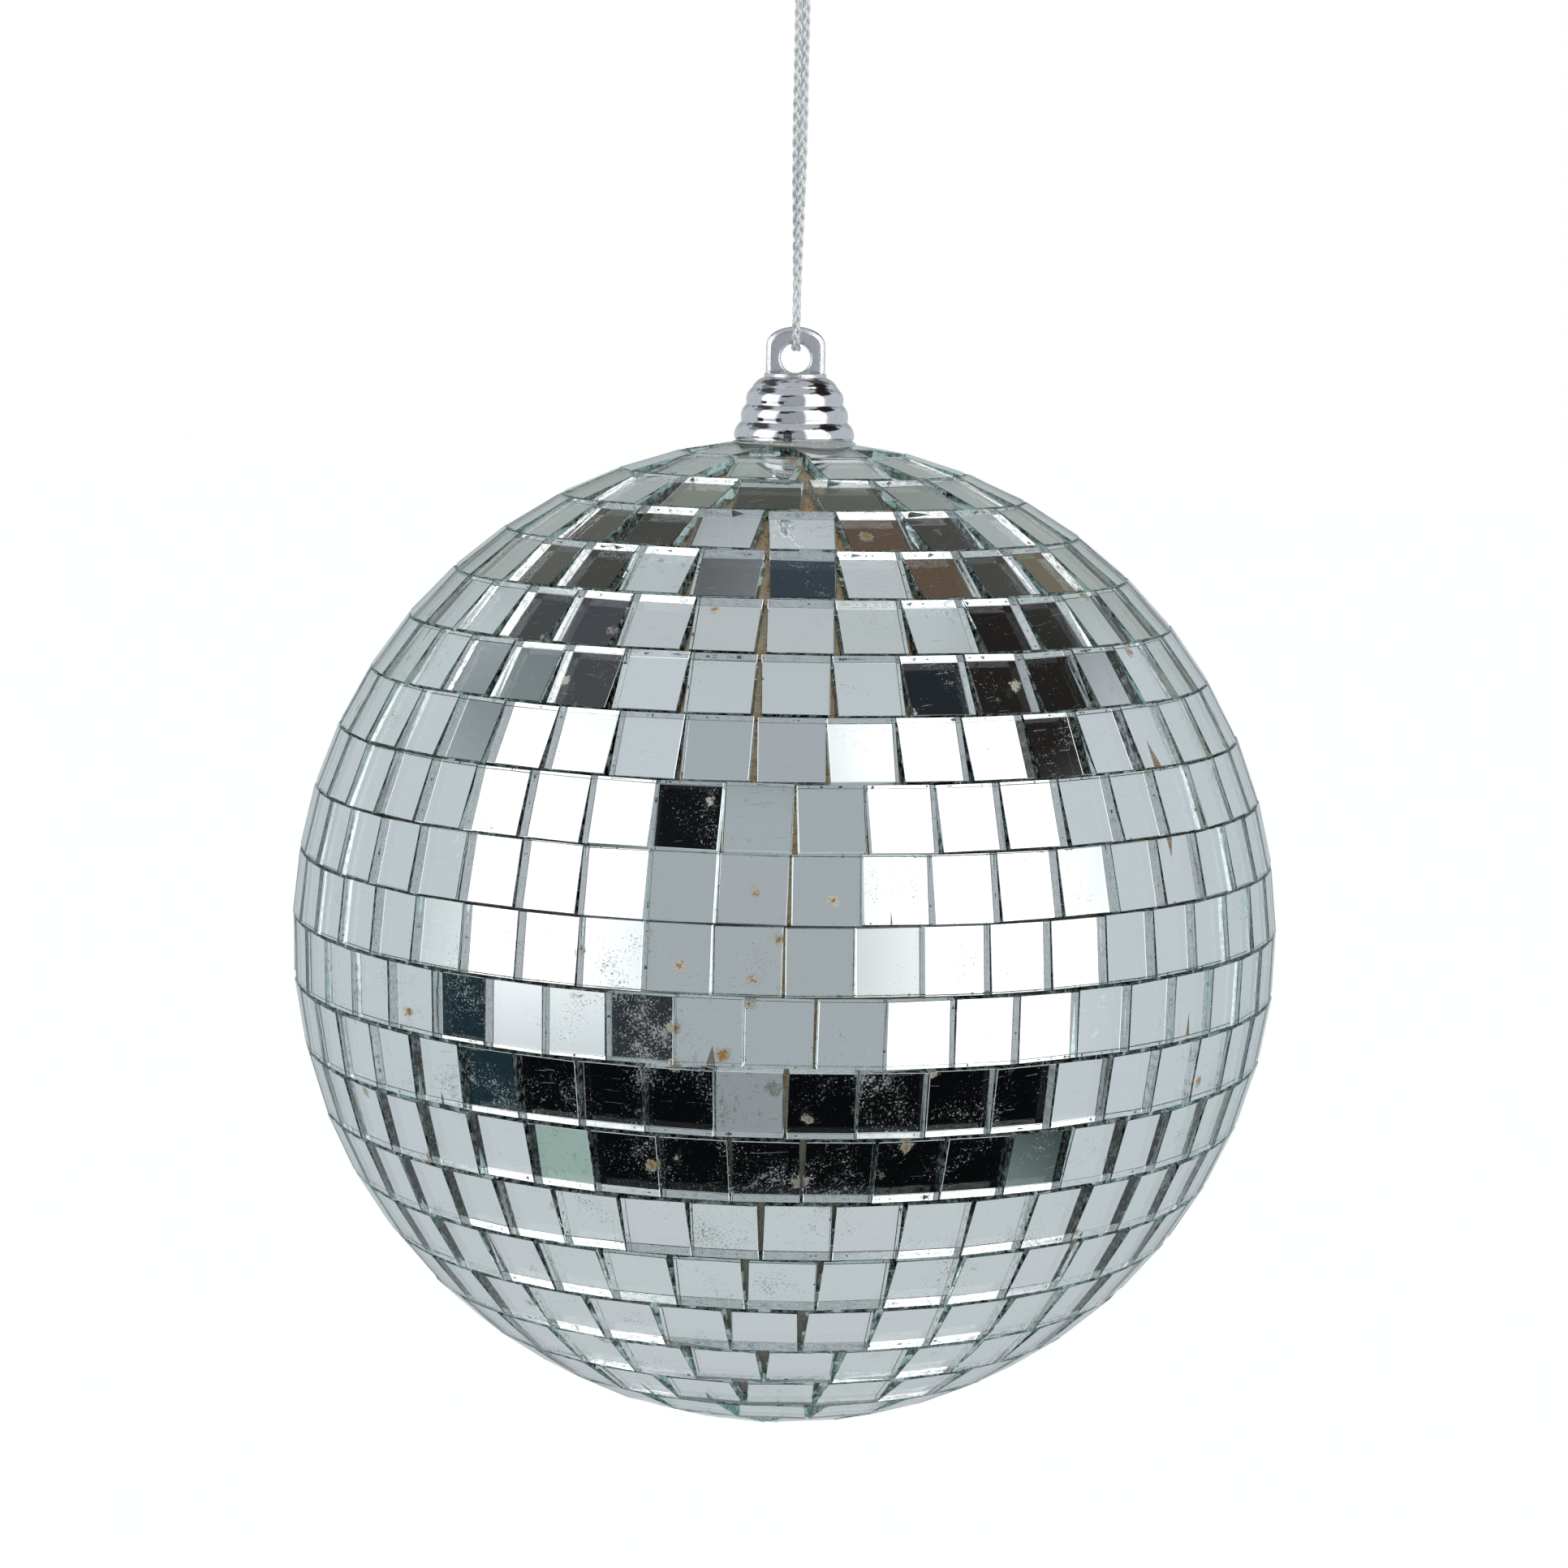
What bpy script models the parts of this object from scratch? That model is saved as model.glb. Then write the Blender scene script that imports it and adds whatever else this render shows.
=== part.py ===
"""A hanging mirror ball: a foam core covered by strips of small glass mirrors, with a chromed
plastic cap, an eyelet peg and the looped thread that it hangs from.

The origin is the hanging point, the inside of the thread loop's crown, with +Z up. The ball
hangs below it, and the eyelet's hole looks along Y. All sizes are in metres.
"""

import math

import bmesh
import bpy
from mathutils import Matrix, Vector

MM = 0.001

# Driving dimensions of the ball
BALL_RADIUS = 78.0 * MM            # over the corners of the mirror tiles
BALL_CENTRE_Z = -171.5 * MM        # the hanging point is this far above the ball's centre
TILE_WIDTH = 9.6 * MM              # along a strip
TILE_HEIGHT = 9.75 * MM            # across a strip
TILE_SPACE = 0.17 * MM             # least room between two tiles of a strip
GLASS_THICKNESS = 1.8 * MM
BACKING_THICKNESS = 0.5 * MM       # cloth that holds the tiles of a strip together
BACKING_INSET = 0.15 * MM          # the cloth is this much narrower than the tiles on each side
CORE_CLEARANCE = 0.4 * MM          # the strips stand off the core by their glue
UPPER_PITCH = math.radians(7.5)    # latitude taken by one strip above the first line
LOWER_PITCH = math.radians(7.68)   # the strips below it were laid a little further apart
FIRST_LINE = math.radians(2.2)     # latitude of the line between the upper and the lower strips
SEAM_WIDTH = 0.35 * MM             # between the two ends of a strip
FULL_GAP = 0.3 * MM                # tiles further apart than this don't touch at any corner

# Longitude in degrees where the two ends of each strip meet, from the middle line outwards;
# 0 is the front of the ball and positive is to the right
UPPER_SEAMS = (0, 0.5, 1, -4, -4, -4, -4.5, -6, 4.5, 5, -12)
LOWER_SEAMS = (3.5, 0.5, 2.5, -2, -4, 3.5, -2, -6.5, 9, -3, 14)

# Cap, peg and glue: radii, and heights above the ball's centre
CAP_OUTLINE = (                    # radius and height in mm: a rim, two soft bulges and a dome
    (9.2, 77.75), (9.47, 78.5), (9.12, 79.8), (8.38, 80.7), (8.44, 81.6), (8.1, 82.8), (7.6, 83.4),
    (7.66, 84.3), (7.3, 85.35), (6.75, 86.0), (6.1, 86.9), (5.0, 87.5),
)
CAP_BORE = (                       # the hollow inside, from the hole on top down to the rim
    (2.9, 87.5), (2.9, 86.3), (4.6, 86.1), (5.5, 85.3), (6.35, 83.5), (7.0, 82.2), (7.25, 80.8),
    (8.1, 79.5), (8.1, 77.75),
)
NOTCH_WIDTH = 1.3 * MM             # moulded into the front of the rim
NOTCH_HEIGHT = 1.9 * MM
NOTCH_SHIFT = -1.0 * MM            # it stands a little to the left
NOTCH_REACH = 8.8 * MM             # from the axis to the middle of the rim's wall
NOTCH_DEPTH = 2.6 * MM             # of the cutter, which is longer than the wall
GLUE_INNER, GLUE_OUTER = 3.3 * MM, 7.7 * MM
GLUE_BOTTOM, GLUE_TOP = 78.4 * MM, 80.3 * MM
GLUE_SKIRT = 0.6 * MM              # the bead's straight outer side
GLUE_SAG = 0.4 * MM                # the bead is this much lower round the peg
PEG_RADIUS = 2.3 * MM
PEG_TIP_HEIGHT = 48.0 * MM
PEG_POINT_RADIUS, PEG_POINT = 1.15 * MM, 0.4 * MM
PEG_BARBS = 4
BARB_RADIUS = 2.8 * MM
BARB_PITCH = 5.0 * MM
BARB_LENGTH = 2.0 * MM             # one barb, from its thin end up to its shoulder
BARB_SHOULDER = 0.3 * MM
COLLAR_RADIUS = 4.9 * MM
COLLAR_ROUND = 0.2 * MM
COLLAR_BOTTOM, COLLAR_TOP = 87.6 * MM, 88.2 * MM
BORE_RADIUS = 3.2 * MM             # in the foam, round the peg
BORE_BOTTOM = 46.0 * MM
TAB_HALF_WIDTH = 4.63 * MM
TAB_THICKNESS = 2.0 * MM
TAB_TOP = 95.5 * MM
TAB_CROWN = 2.9 * MM               # height of the half ellipse that ends the tab
TAB_BEVEL = 0.5 * MM
TAB_ROOT = 87.8 * MM               # inside the collar
BEVEL_REACH = 1.0 * MM             # the bevel runs this far below the crown's foot
EYE_RADIUS = 2.32 * MM
EYE_HEIGHT = 90.6 * MM

# Thread, with heights above the ball's centre
THREAD_RADIUS = 0.5 * MM
KNOT_RADIUS, KNOT_HALF_HEIGHT = 2.0 * MM, 2.6 * MM
KNOT_HEIGHT = 153.0 * MM
BIGHT_ROUTE = (                    # y and height of the front half of the bight, bottom first
    (0.0, 92.05), (-0.75, 92.2), (-1.38, 92.62), (-1.8, 93.25), (-1.95, 94.0), (-1.95, 95.0),
    (-1.93, 96.2), (-1.8, 97.4),
)
STRAND_ROUTE = (                   # x, y and height of the front strand, bottom first
    (0.0, -1.72, 97.7), (0.0, -1.4, 99.2), (0.03, -0.95, 101.4), (0.1, -0.65, 104.5),
    (0.2, -0.52, 109.0), (0.34, -0.44, 114.0), (0.48, -0.3, 119.0), (0.54, -0.12, 125.0),
    (0.56, 0.06, 131.0), (0.54, 0.16, 137.0), (0.56, 0.08, 143.0), (0.6, 0.0, 148.0),
    (0.62, 0.0, 150.1),
)
LOOP_ROUTE = (                     # x and height of the right half of the loop, crown first
    (0.0, 172.0), (1.5, 171.7), (2.8, 170.8), (3.7, 169.4), (4.1, 167.6), (4.0, 165.4),
    (3.4, 163.0), (2.5, 160.6), (1.6, 158.4), (0.95, 156.9), (0.7, 155.95),
)
ROUTE_STEPS = 2                    # points of the tube for each stretch of a route

# Facets round the turned pieces, and on the arcs of others
CAP_STEPS, CORE_STEPS, GLUE_STEPS, PEG_STEPS, EYE_STEPS = 32, 24, 24, 20, 28
CORE_ARC_STEPS, CROWN_STEPS, NOTCH_STEPS = 14, 14, 12
KNOT_SEGMENTS, KNOT_RINGS = 12, 8
CUTTER_PAST = 1.0 * MM             # cutters reach this far past what they cut
SAME_POINT = 0.001 * MM            # points nearer than this are one
SAME_CORNER = 0.002 * MM

CENTRE = Vector((0, 0, BALL_CENTRE_Z))

face_depth = math.sqrt(BALL_RADIUS ** 2 - (TILE_WIDTH / 2) ** 2 - (TILE_HEIGHT / 2) ** 2)
floor_depth = face_depth - GLASS_THICKNESS
back_depth = floor_depth - BACKING_THICKNESS
core_radius = back_depth - CORE_CLEARANCE


def clear_scene():
    for item in list(bpy.data.objects):
        bpy.data.objects.remove(item, do_unlink=True)


def material(name, colour, metallic, roughness):
    made = bpy.data.materials.new(name)
    made.use_nodes = True
    shader = made.node_tree.nodes["Principled BSDF"]
    shader.inputs["Base Color"].default_value = (*colour, 1)
    shader.inputs["Metallic"].default_value = metallic
    shader.inputs["Roughness"].default_value = roughness
    return made


def place(name, mesh_maker, made_of, parent, smooth_degrees=None):
    """Turn a bmesh into a named object that hangs from its empty and carries its material."""
    mesh = bpy.data.meshes.new(name)
    bmesh.ops.recalc_face_normals(mesh_maker, faces=mesh_maker.faces)
    mesh_maker.to_mesh(mesh)
    mesh_maker.free()
    if smooth_degrees:
        mesh.shade_smooth()
        mesh.set_sharp_from_angle(angle=math.radians(smooth_degrees))
    mesh.materials.append(made_of)
    item = bpy.data.objects.new(name, mesh)
    bpy.context.collection.objects.link(item)
    item.parent = parent
    return item


def empty(name, location, parent=None):
    """A joint's axis stands at the empty's origin, and its body's pieces hang from it."""
    item = bpy.data.objects.new(name, None)
    bpy.context.collection.objects.link(item)
    item.location = location if parent is None else Vector(location) - Vector(parent["at"])
    item["at"] = location
    item.parent = parent
    return item


def origin_lock(item, parent):
    """The meshes are built in the object's own frame, so the empty's place is taken out."""
    item.matrix_parent_inverse = Matrix.Translation(-Vector(parent["at"]))


def turned(profile, steps):
    """Spin a closed or axis-to-axis outline of (radius, height above the ball's centre)."""
    bm = bmesh.new()
    points = [bm.verts.new((radius, 0, height)) for radius, height in profile]
    on_axis = profile[0][0] == 0 and profile[-1][0] == 0
    pairs = list(zip(points, points[1:])) + ([] if on_axis else [(points[-1], points[0])])
    edges = [bm.edges.new(pair) for pair in pairs]
    bmesh.ops.spin(
        bm, geom=points + edges, axis=(0, 0, 1), cent=(0, 0, 0),
        angle=math.tau, steps=steps, use_merge=True,
    )
    bmesh.ops.remove_doubles(bm, verts=bm.verts, dist=SAME_POINT)
    return bm


def shifted(bm, offset):
    bmesh.ops.translate(bm, verts=bm.verts, vec=offset)
    return bm


def tile_count(middle):
    """How many tiles fit round a strip: their corners meet along its edge nearer the pole."""
    edge_reach = face_depth * math.cos(middle) - TILE_HEIGHT / 2 * math.sin(abs(middle))
    half_room = (TILE_WIDTH + TILE_SPACE) / 2
    return int(math.pi / math.atan(half_room / edge_reach))


class StripTile:
    """One tile's own axes: out of the ball, along the strip, and towards the pole."""

    def __init__(self, middle, longitude, pole_sign):
        east = Vector((math.cos(longitude), math.sin(longitude), 0))
        level = Vector((math.sin(longitude), -math.cos(longitude), 0))
        self.out = level * math.cos(middle) + Vector((0, 0, math.sin(middle)))
        self.pole = (Vector((0, 0, math.cos(middle))) - level * math.sin(middle)) * pole_sign
        self.along = east

    def point(self, poleward, sideways, depth):
        return CENTRE + self.out * depth + self.along * sideways + self.pole * poleward


def strip(middle, seam):
    """A band of square tiles on cloth. Its ends meet at the seam, and the tiles' corners touch
    on the side of the pole, so the gaps between them open towards the equator."""
    bm = bmesh.new()
    pole_sign = 1 if middle > 0 else -1
    half = TILE_HEIGHT / 2

    def reach(poleward, depth):
        return depth * math.cos(middle) - poleward * math.sin(abs(middle))

    count = tile_count(middle)
    seam_angle = SEAM_WIDTH / reach(half, face_depth)
    pitch = (math.tau - seam_angle) / count
    half_tan = math.tan(pitch / 2)
    touching = reach(half, face_depth) * half_tan
    apart = 2 * touching - TILE_WIDTH > FULL_GAP
    width = TILE_WIDTH / 2 if apart else touching
    # Near a pole a flat strip's corners reach past its line, so tiles and cloth end before it
    slope = math.sin(abs(middle))
    line_reach = reach(-half, face_depth)
    line = (math.hypot(line_reach, width) - line_reach) * slope - half
    cloth_reach = reach(-half, back_depth)
    cloth_line = cloth_reach * (1 / math.cos(pitch / 2) - 1) * slope + BACKING_INSET - half
    cloth_pole = half - BACKING_INSET
    line_side = reach(cloth_line, back_depth) * half_tan
    pole_side = reach(cloth_pole, back_depth) * half_tan

    def face(*points):
        bm.faces.new([bm.verts.new(point) for point in points])

    tiles = [
        StripTile(middle, seam + seam_angle / 2 + (index + 0.5) * pitch, pole_sign)
        for index in range(count)
    ]
    for index, tile in enumerate(tiles):
        first, last = index == 0, index == count - 1
        pole, floor_pole = (
            [tile.point(half, side, depth) for side in (-width, width)]
            for depth in (face_depth, floor_depth)
        )
        near, floor_near = (
            [tile.point(line, side, depth) for side in (-width, width)]
            for depth in (face_depth, floor_depth)
        )
        cloth_sides = (-width if first else -pole_side, width if last else pole_side)
        cloth_far = [tile.point(cloth_pole, side, back_depth) for side in cloth_sides]
        cloth_sides = (-width if first else -line_side, width if last else line_side)
        cloth_near = [tile.point(cloth_line, side, back_depth) for side in cloth_sides]

        def quad(one, other):
            face(one[0], one[1], other[1], other[0])

        quad(pole, near)
        quad(near, floor_near)
        quad(floor_near, cloth_near)
        quad(cloth_near, cloth_far)
        if apart:
            quad(floor_pole, pole)
            quad(cloth_far, floor_pole)
        else:
            quad(cloth_far, pole)
        for end in (0, 1):
            if (first, last)[end]:
                deep = [floor_pole[end]] if apart else []
                face(pole[end], near[end], floor_near[end], cloth_near[end], cloth_far[end], *deep)
        if last:
            continue
        follower = tiles[index + 1]
        next_pole = follower.point(half, -width, face_depth)
        next_near = follower.point(line, -width, face_depth)
        next_floor = follower.point(line, -width, floor_depth)
        face(floor_near[1], next_floor, cloth_near[1])
        if apart:
            next_deep = follower.point(half, -width, floor_depth)
            face(pole[1], near[1], floor_near[1], floor_pole[1])
            face(floor_pole[1], floor_near[1], next_floor, next_deep)
            face(next_pole, next_near, next_floor, next_deep)
            face(floor_pole[1], next_deep, cloth_far[1])
        else:
            face(pole[1], near[1], floor_near[1])
            face(pole[1], floor_near[1], next_floor)
            face(next_pole, next_near, next_floor)
    bmesh.ops.remove_doubles(bm, verts=bm.verts, dist=SAME_CORNER)
    return bm


def bottom_tile():
    """The single tile that closes the ball at its lower pole."""
    bm = bmesh.new()
    bmesh.ops.create_cube(bm, size=1)
    thickness = face_depth - back_depth
    bmesh.ops.scale(bm, verts=bm.verts, vec=(TILE_WIDTH, TILE_WIDTH, thickness))
    return shifted(bm, CENTRE - Vector((0, 0, back_depth + thickness / 2)))


def foam_core():
    """A ball with a blind hole for the peg at its upper pole."""
    mouth = math.asin(BORE_RADIUS / core_radius)
    arc = [
        mouth + (math.pi - mouth) * step / CORE_ARC_STEPS for step in range(CORE_ARC_STEPS + 1)
    ]
    outline = [(0, BORE_BOTTOM), (BORE_RADIUS, BORE_BOTTOM)]
    outline += [(core_radius * math.sin(a), core_radius * math.cos(a)) for a in arc[:-1]]
    outline.append((0, -core_radius))
    return shifted(turned(outline, CORE_STEPS), CENTRE)


def cap_dome():
    """A hollow beehive with a round hole on top."""
    outline = [(radius * MM, height * MM) for radius, height in CAP_OUTLINE + CAP_BORE]
    return shifted(turned(outline, CAP_STEPS), CENTRE)


def rim_notch(parent):
    """Cuts the small arched notch through the front of the cap's rim."""
    bm = bmesh.new()
    bmesh.ops.create_cone(
        bm, cap_ends=True, segments=NOTCH_STEPS, radius1=NOTCH_WIDTH / 2, radius2=NOTCH_WIDTH / 2,
        depth=NOTCH_DEPTH, matrix=Matrix.Rotation(math.pi / 2, 4, "X"),
    )
    low = [vert for vert in bm.verts if vert.co.z < -SAME_POINT]
    bmesh.ops.translate(bm, verts=low, vec=(0, 0, -NOTCH_HEIGHT))
    height = CAP_OUTLINE[0][1] * MM + NOTCH_HEIGHT - NOTCH_WIDTH / 2
    shifted(bm, CENTRE + Vector((NOTCH_SHIFT, -NOTCH_REACH, height)))
    cutter = place("rim_notch_cutter", bm, chrome, parent)
    cutter.hide_render = True
    cutter.display_type = "WIRE"
    return cutter


def cut(item, cutter):
    modifier = item.modifiers.new("cut", "BOOLEAN")
    modifier.operation = "DIFFERENCE"
    modifier.solver = "EXACT"
    modifier.object = cutter


def join(item, other):
    modifier = item.modifiers.new("join", "BOOLEAN")
    modifier.operation = "UNION"
    modifier.solver = "EXACT"
    modifier.object = other


def cap_glue():
    """The bead of glue that holds the cap and the peg to the ball."""
    middle = (GLUE_INNER + GLUE_OUTER) / 2
    outline = [
        (GLUE_OUTER, GLUE_BOTTOM), (GLUE_OUTER, GLUE_BOTTOM + GLUE_SKIRT), (middle, GLUE_TOP),
        (GLUE_INNER, GLUE_TOP - GLUE_SAG), (GLUE_INNER, GLUE_BOTTOM),
    ]
    return shifted(turned(outline, GLUE_STEPS), CENTRE)


def peg_outline():
    """Collar, shaft, barbs and point, from the top down."""
    outline = [
        (0, COLLAR_TOP), (COLLAR_RADIUS - COLLAR_ROUND, COLLAR_TOP),
        (COLLAR_RADIUS, COLLAR_TOP - COLLAR_ROUND), (COLLAR_RADIUS, COLLAR_BOTTOM),
        (PEG_RADIUS, COLLAR_BOTTOM),
    ]
    first_barb = PEG_TIP_HEIGHT + BARB_PITCH * (PEG_BARBS - 0.5)
    for barb in range(PEG_BARBS):
        height = first_barb - barb * BARB_PITCH
        outline += [
            (PEG_RADIUS, height + BARB_LENGTH), (BARB_RADIUS, height + BARB_LENGTH - BARB_SHOULDER),
            (PEG_RADIUS, height),
        ]
    outline += [(PEG_POINT_RADIUS, PEG_TIP_HEIGHT + PEG_POINT), (0, PEG_TIP_HEIGHT)]
    return outline


def tab():
    """The flat eyelet: straight sides, an elliptic crown and bevelled edges all round."""
    bm = bmesh.new()
    crown_base = TAB_TOP - TAB_CROWN
    outline = [(-TAB_HALF_WIDTH, TAB_ROOT), (TAB_HALF_WIDTH, TAB_ROOT)]
    outline += [
        (
            TAB_HALF_WIDTH * math.cos(math.pi * step / CROWN_STEPS),
            crown_base + TAB_CROWN * math.sin(math.pi * step / CROWN_STEPS),
        )
        for step in range(CROWN_STEPS + 1)
    ]
    front = bm.faces.new(
        [bm.verts.new((x, -TAB_THICKNESS / 2, height)) for x, height in outline]
    )
    pushed = bmesh.ops.extrude_face_region(bm, geom=[front])["geom"]
    back = [item for item in pushed if isinstance(item, bmesh.types.BMVert)]
    bmesh.ops.translate(bm, verts=back, vec=(0, TAB_THICKNESS, 0))
    edges = [
        edge for edge in bm.edges
        if abs(edge.verts[0].co.y - edge.verts[1].co.y) < SAME_POINT
        and max(vert.co.z for vert in edge.verts) > crown_base - BEVEL_REACH
    ]
    bmesh.ops.bevel(bm, geom=edges, offset=TAB_BEVEL, segments=1, affect="EDGES")
    return shifted(bm, CENTRE)


def eye(parent):
    """Cuts the tab's hole, flared at both faces so that its edges don't fray the thread."""
    half = TAB_THICKNESS / 2
    flare = EYE_RADIUS + TAB_BEVEL
    wide, far = flare + CUTTER_PAST, half + CUTTER_PAST
    outline = [
        (0, far), (wide, far), (EYE_RADIUS, half - TAB_BEVEL),
        (EYE_RADIUS, TAB_BEVEL - half), (wide, -far), (0, -far),
    ]
    bm = turned(outline, EYE_STEPS)
    bmesh.ops.rotate(bm, verts=bm.verts, matrix=Matrix.Rotation(math.pi / 2, 3, "X"))
    shifted(bm, CENTRE + Vector((0, 0, EYE_HEIGHT)))
    cutter = place("eye_cutter", bm, chrome, parent)
    cutter.hide_render = True
    cutter.display_type = "WIRE"
    return cutter


def smooth_route(points):
    """A smooth curve through a route's points, as a list with a few points per stretch."""
    ends = [points[0] * 2 - points[1], *points, points[-1] * 2 - points[-2]]
    path = []
    for index in range(len(points) - 1):
        before, start, end, after = ends[index:index + 4]
        for step in range(ROUTE_STEPS):
            t = step / ROUTE_STEPS
            path.append(0.5 * (
                2 * start + (end - before) * t
                + (2 * before - 5 * start + 4 * end - after) * t ** 2
                + (3 * start - before - 3 * end + after) * t ** 3
            ))
    path.append(points[-1])
    return path


def thread(name, points, parent):
    """A closed tube along a route given in millimetres above the ball's centre."""
    curve = bpy.data.curves.new(name, "CURVE")
    curve.dimensions = "3D"
    curve.bevel_depth = THREAD_RADIUS
    curve.bevel_resolution = 2
    curve.use_fill_caps = True
    path = smooth_route([Vector(point) * MM + CENTRE for point in points])
    spline = curve.splines.new("POLY")
    spline.points.add(len(path) - 1)
    for target, point in zip(spline.points, path):
        target.co = (*point, 1)
    curve.materials.append(lurex)
    item = bpy.data.objects.new(name, curve)
    bpy.context.collection.objects.link(item)
    item.parent = parent
    return item


def knot():
    bm = bmesh.new()
    bmesh.ops.create_uvsphere(bm, u_segments=KNOT_SEGMENTS, v_segments=KNOT_RINGS, radius=1)
    bmesh.ops.scale(bm, verts=bm.verts, vec=(KNOT_RADIUS, KNOT_RADIUS, KNOT_HALF_HEIGHT))
    return shifted(bm, CENTRE + Vector((0, 0, KNOT_HEIGHT)))


def build():
    knot_at = CENTRE + Vector((0, 0, KNOT_HEIGHT))
    eye_at = CENTRE + Vector((0, 0, BIGHT_ROUTE[0][1] * MM))
    hanger = empty("hanger", (0, 0, 0))
    swing_sideways = empty("swing_sideways", knot_at, hanger)
    swing_forward = empty("swing_forward", knot_at, swing_sideways)
    spin = empty("ball_spin", eye_at, swing_forward)
    tilt = empty("eyelet_tilt", eye_at, spin)
    made = []

    def add(name, bm, made_of, parent, smooth_degrees=None):
        item = place(name, bm, made_of, parent, smooth_degrees)
        made.append((item, parent))
        return item

    add("foam_core", foam_core(), foam, tilt, 40)
    for name, seams, pitch in (("upper", UPPER_SEAMS, UPPER_PITCH), ("lower", LOWER_SEAMS, -LOWER_PITCH)):
        for row, seam in enumerate(seams):
            middle = FIRST_LINE + (row + 0.5) * pitch
            add(f"mirror_strip_{name}_{row + 1:02d}", strip(middle, math.radians(seam)), mirror, tilt)
    add("bottom_tile", bottom_tile(), mirror, tilt)
    add("cap_glue", cap_glue(), glue, tilt, 60)
    cap = add("cap_dome", cap_dome(), chrome, tilt, 35)
    notch = rim_notch(tilt)
    cut(cap, notch)
    peg = add("eyelet_peg", shifted(turned(peg_outline(), PEG_STEPS), CENTRE), chrome, tilt, 35)
    blade = place("tab_blade", tab(), chrome, tilt)
    blade.hide_render = True
    blade.display_type = "WIRE"
    hole = eye(tilt)
    join(peg, blade)
    cut(peg, hole)
    made.extend([(notch, tilt), (blade, tilt), (hole, tilt)])

    front = [(x, y, height) for x, y, height in STRAND_ROUTE]
    back = [(-x, -y, height) for x, y, height in STRAND_ROUTE]
    left = [(0, y, height) for y, height in reversed(BIGHT_ROUTE)]
    right = [(0, -y, height) for y, height in BIGHT_ROUTE[1:]]
    rising = [(-x, 0, height) for x, height in reversed(LOOP_ROUTE)]
    falling = [(x, 0, height) for x, height in LOOP_ROUTE[1:]]
    made.append((thread("thread_strand_front", front, swing_forward), swing_forward))
    made.append((thread("thread_strand_back", back, swing_forward), swing_forward))
    made.append((thread("thread_bight", left + right, spin), spin))
    made.append((thread("hanging_loop", rising + falling, hanger), hanger))
    add("loop_knot", knot(), lurex, swing_sideways, 60)
    for item, parent in made:
        origin_lock(item, parent)


clear_scene()
mirror = material("silvered_glass", (0.80, 0.84, 0.84), 1.0, 0.04)
foam = material("polystyrene_foam", (0.86, 0.86, 0.84), 0.0, 0.8)
chrome = material("chromed_plastic", (0.72, 0.71, 0.73), 1.0, 0.12)
glue = material("hot_melt_glue", (0.75, 0.72, 0.62), 0.0, 0.3)
lurex = material("silver_lurex_thread", (0.66, 0.67, 0.70), 0.8, 0.3)
build()
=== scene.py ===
"""Looks of a hanging mirror ball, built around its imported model.

Small glass mirrors stand on cloth strips round a foam ball. A chromed plastic cap and eyelet sit
on the upper pole, and a crocheted lurex thread runs through the eyelet up to its knot and loop.
Sizes are in metres, with the hanging point at the origin and +Z up.
"""

import math
from functools import partial

import bmesh
import bpy
from mathutils import Matrix, Quaternion, Vector


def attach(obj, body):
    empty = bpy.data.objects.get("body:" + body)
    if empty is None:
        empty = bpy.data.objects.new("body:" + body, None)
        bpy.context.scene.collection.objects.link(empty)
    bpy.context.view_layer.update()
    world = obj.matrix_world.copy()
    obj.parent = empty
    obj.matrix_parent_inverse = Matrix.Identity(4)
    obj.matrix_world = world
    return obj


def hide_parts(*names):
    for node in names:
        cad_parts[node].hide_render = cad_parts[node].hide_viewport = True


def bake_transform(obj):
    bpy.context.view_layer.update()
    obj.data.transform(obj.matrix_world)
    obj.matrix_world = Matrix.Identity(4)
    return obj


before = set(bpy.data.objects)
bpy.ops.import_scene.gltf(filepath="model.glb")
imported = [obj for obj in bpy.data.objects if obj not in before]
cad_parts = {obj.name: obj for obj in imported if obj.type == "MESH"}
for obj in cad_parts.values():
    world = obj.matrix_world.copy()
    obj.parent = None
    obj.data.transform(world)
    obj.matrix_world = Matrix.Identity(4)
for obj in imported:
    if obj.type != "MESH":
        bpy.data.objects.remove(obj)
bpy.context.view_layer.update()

MM = 0.001

# The ball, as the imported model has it
BALL_RADIUS = 78.0 * MM
CENTRE = Vector((0, 0, -171.5 * MM))
TILE_WIDTH = 9.6 * MM
TILE_HEIGHT = 9.75 * MM
TILE_REACH = 9.86 * MM             # how tall the cut pieces of mirror are before they are scattered
TILE_SPACE = 0.17 * MM
GLASS_THICKNESS = 1.8 * MM
CLOTH_THICKNESS = 0.5 * MM
CLOTH_INSET = 0.1 * MM             # how much narrower the tape is than its tiles, on each side
CLOTH_GAP = 0.05 * MM              # between the tape and the silvered backs
CORE_CLEARANCE = 0.4 * MM
CORE_STEPS = 64
UPPER_PITCH = math.radians(7.5)
LOWER_PITCH = math.radians(7.68)
FIRST_LINE = math.radians(2.2)
SEAM_WIDTH = 0.35 * MM
UPPER_SEAMS = (0, 0.5, 1, -4, -4, -4, -4.5, -6, 4.5, 5, -12)
LOWER_SEAMS = (3.5, 0.5, 2.5, -2, -4, 3.5, -2, -6.5, 9, -3, 14)

face_depth = math.sqrt(BALL_RADIUS ** 2 - (TILE_WIDTH / 2) ** 2 - (TILE_HEIGHT / 2) ** 2)
floor_depth = face_depth - GLASS_THICKNESS

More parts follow.
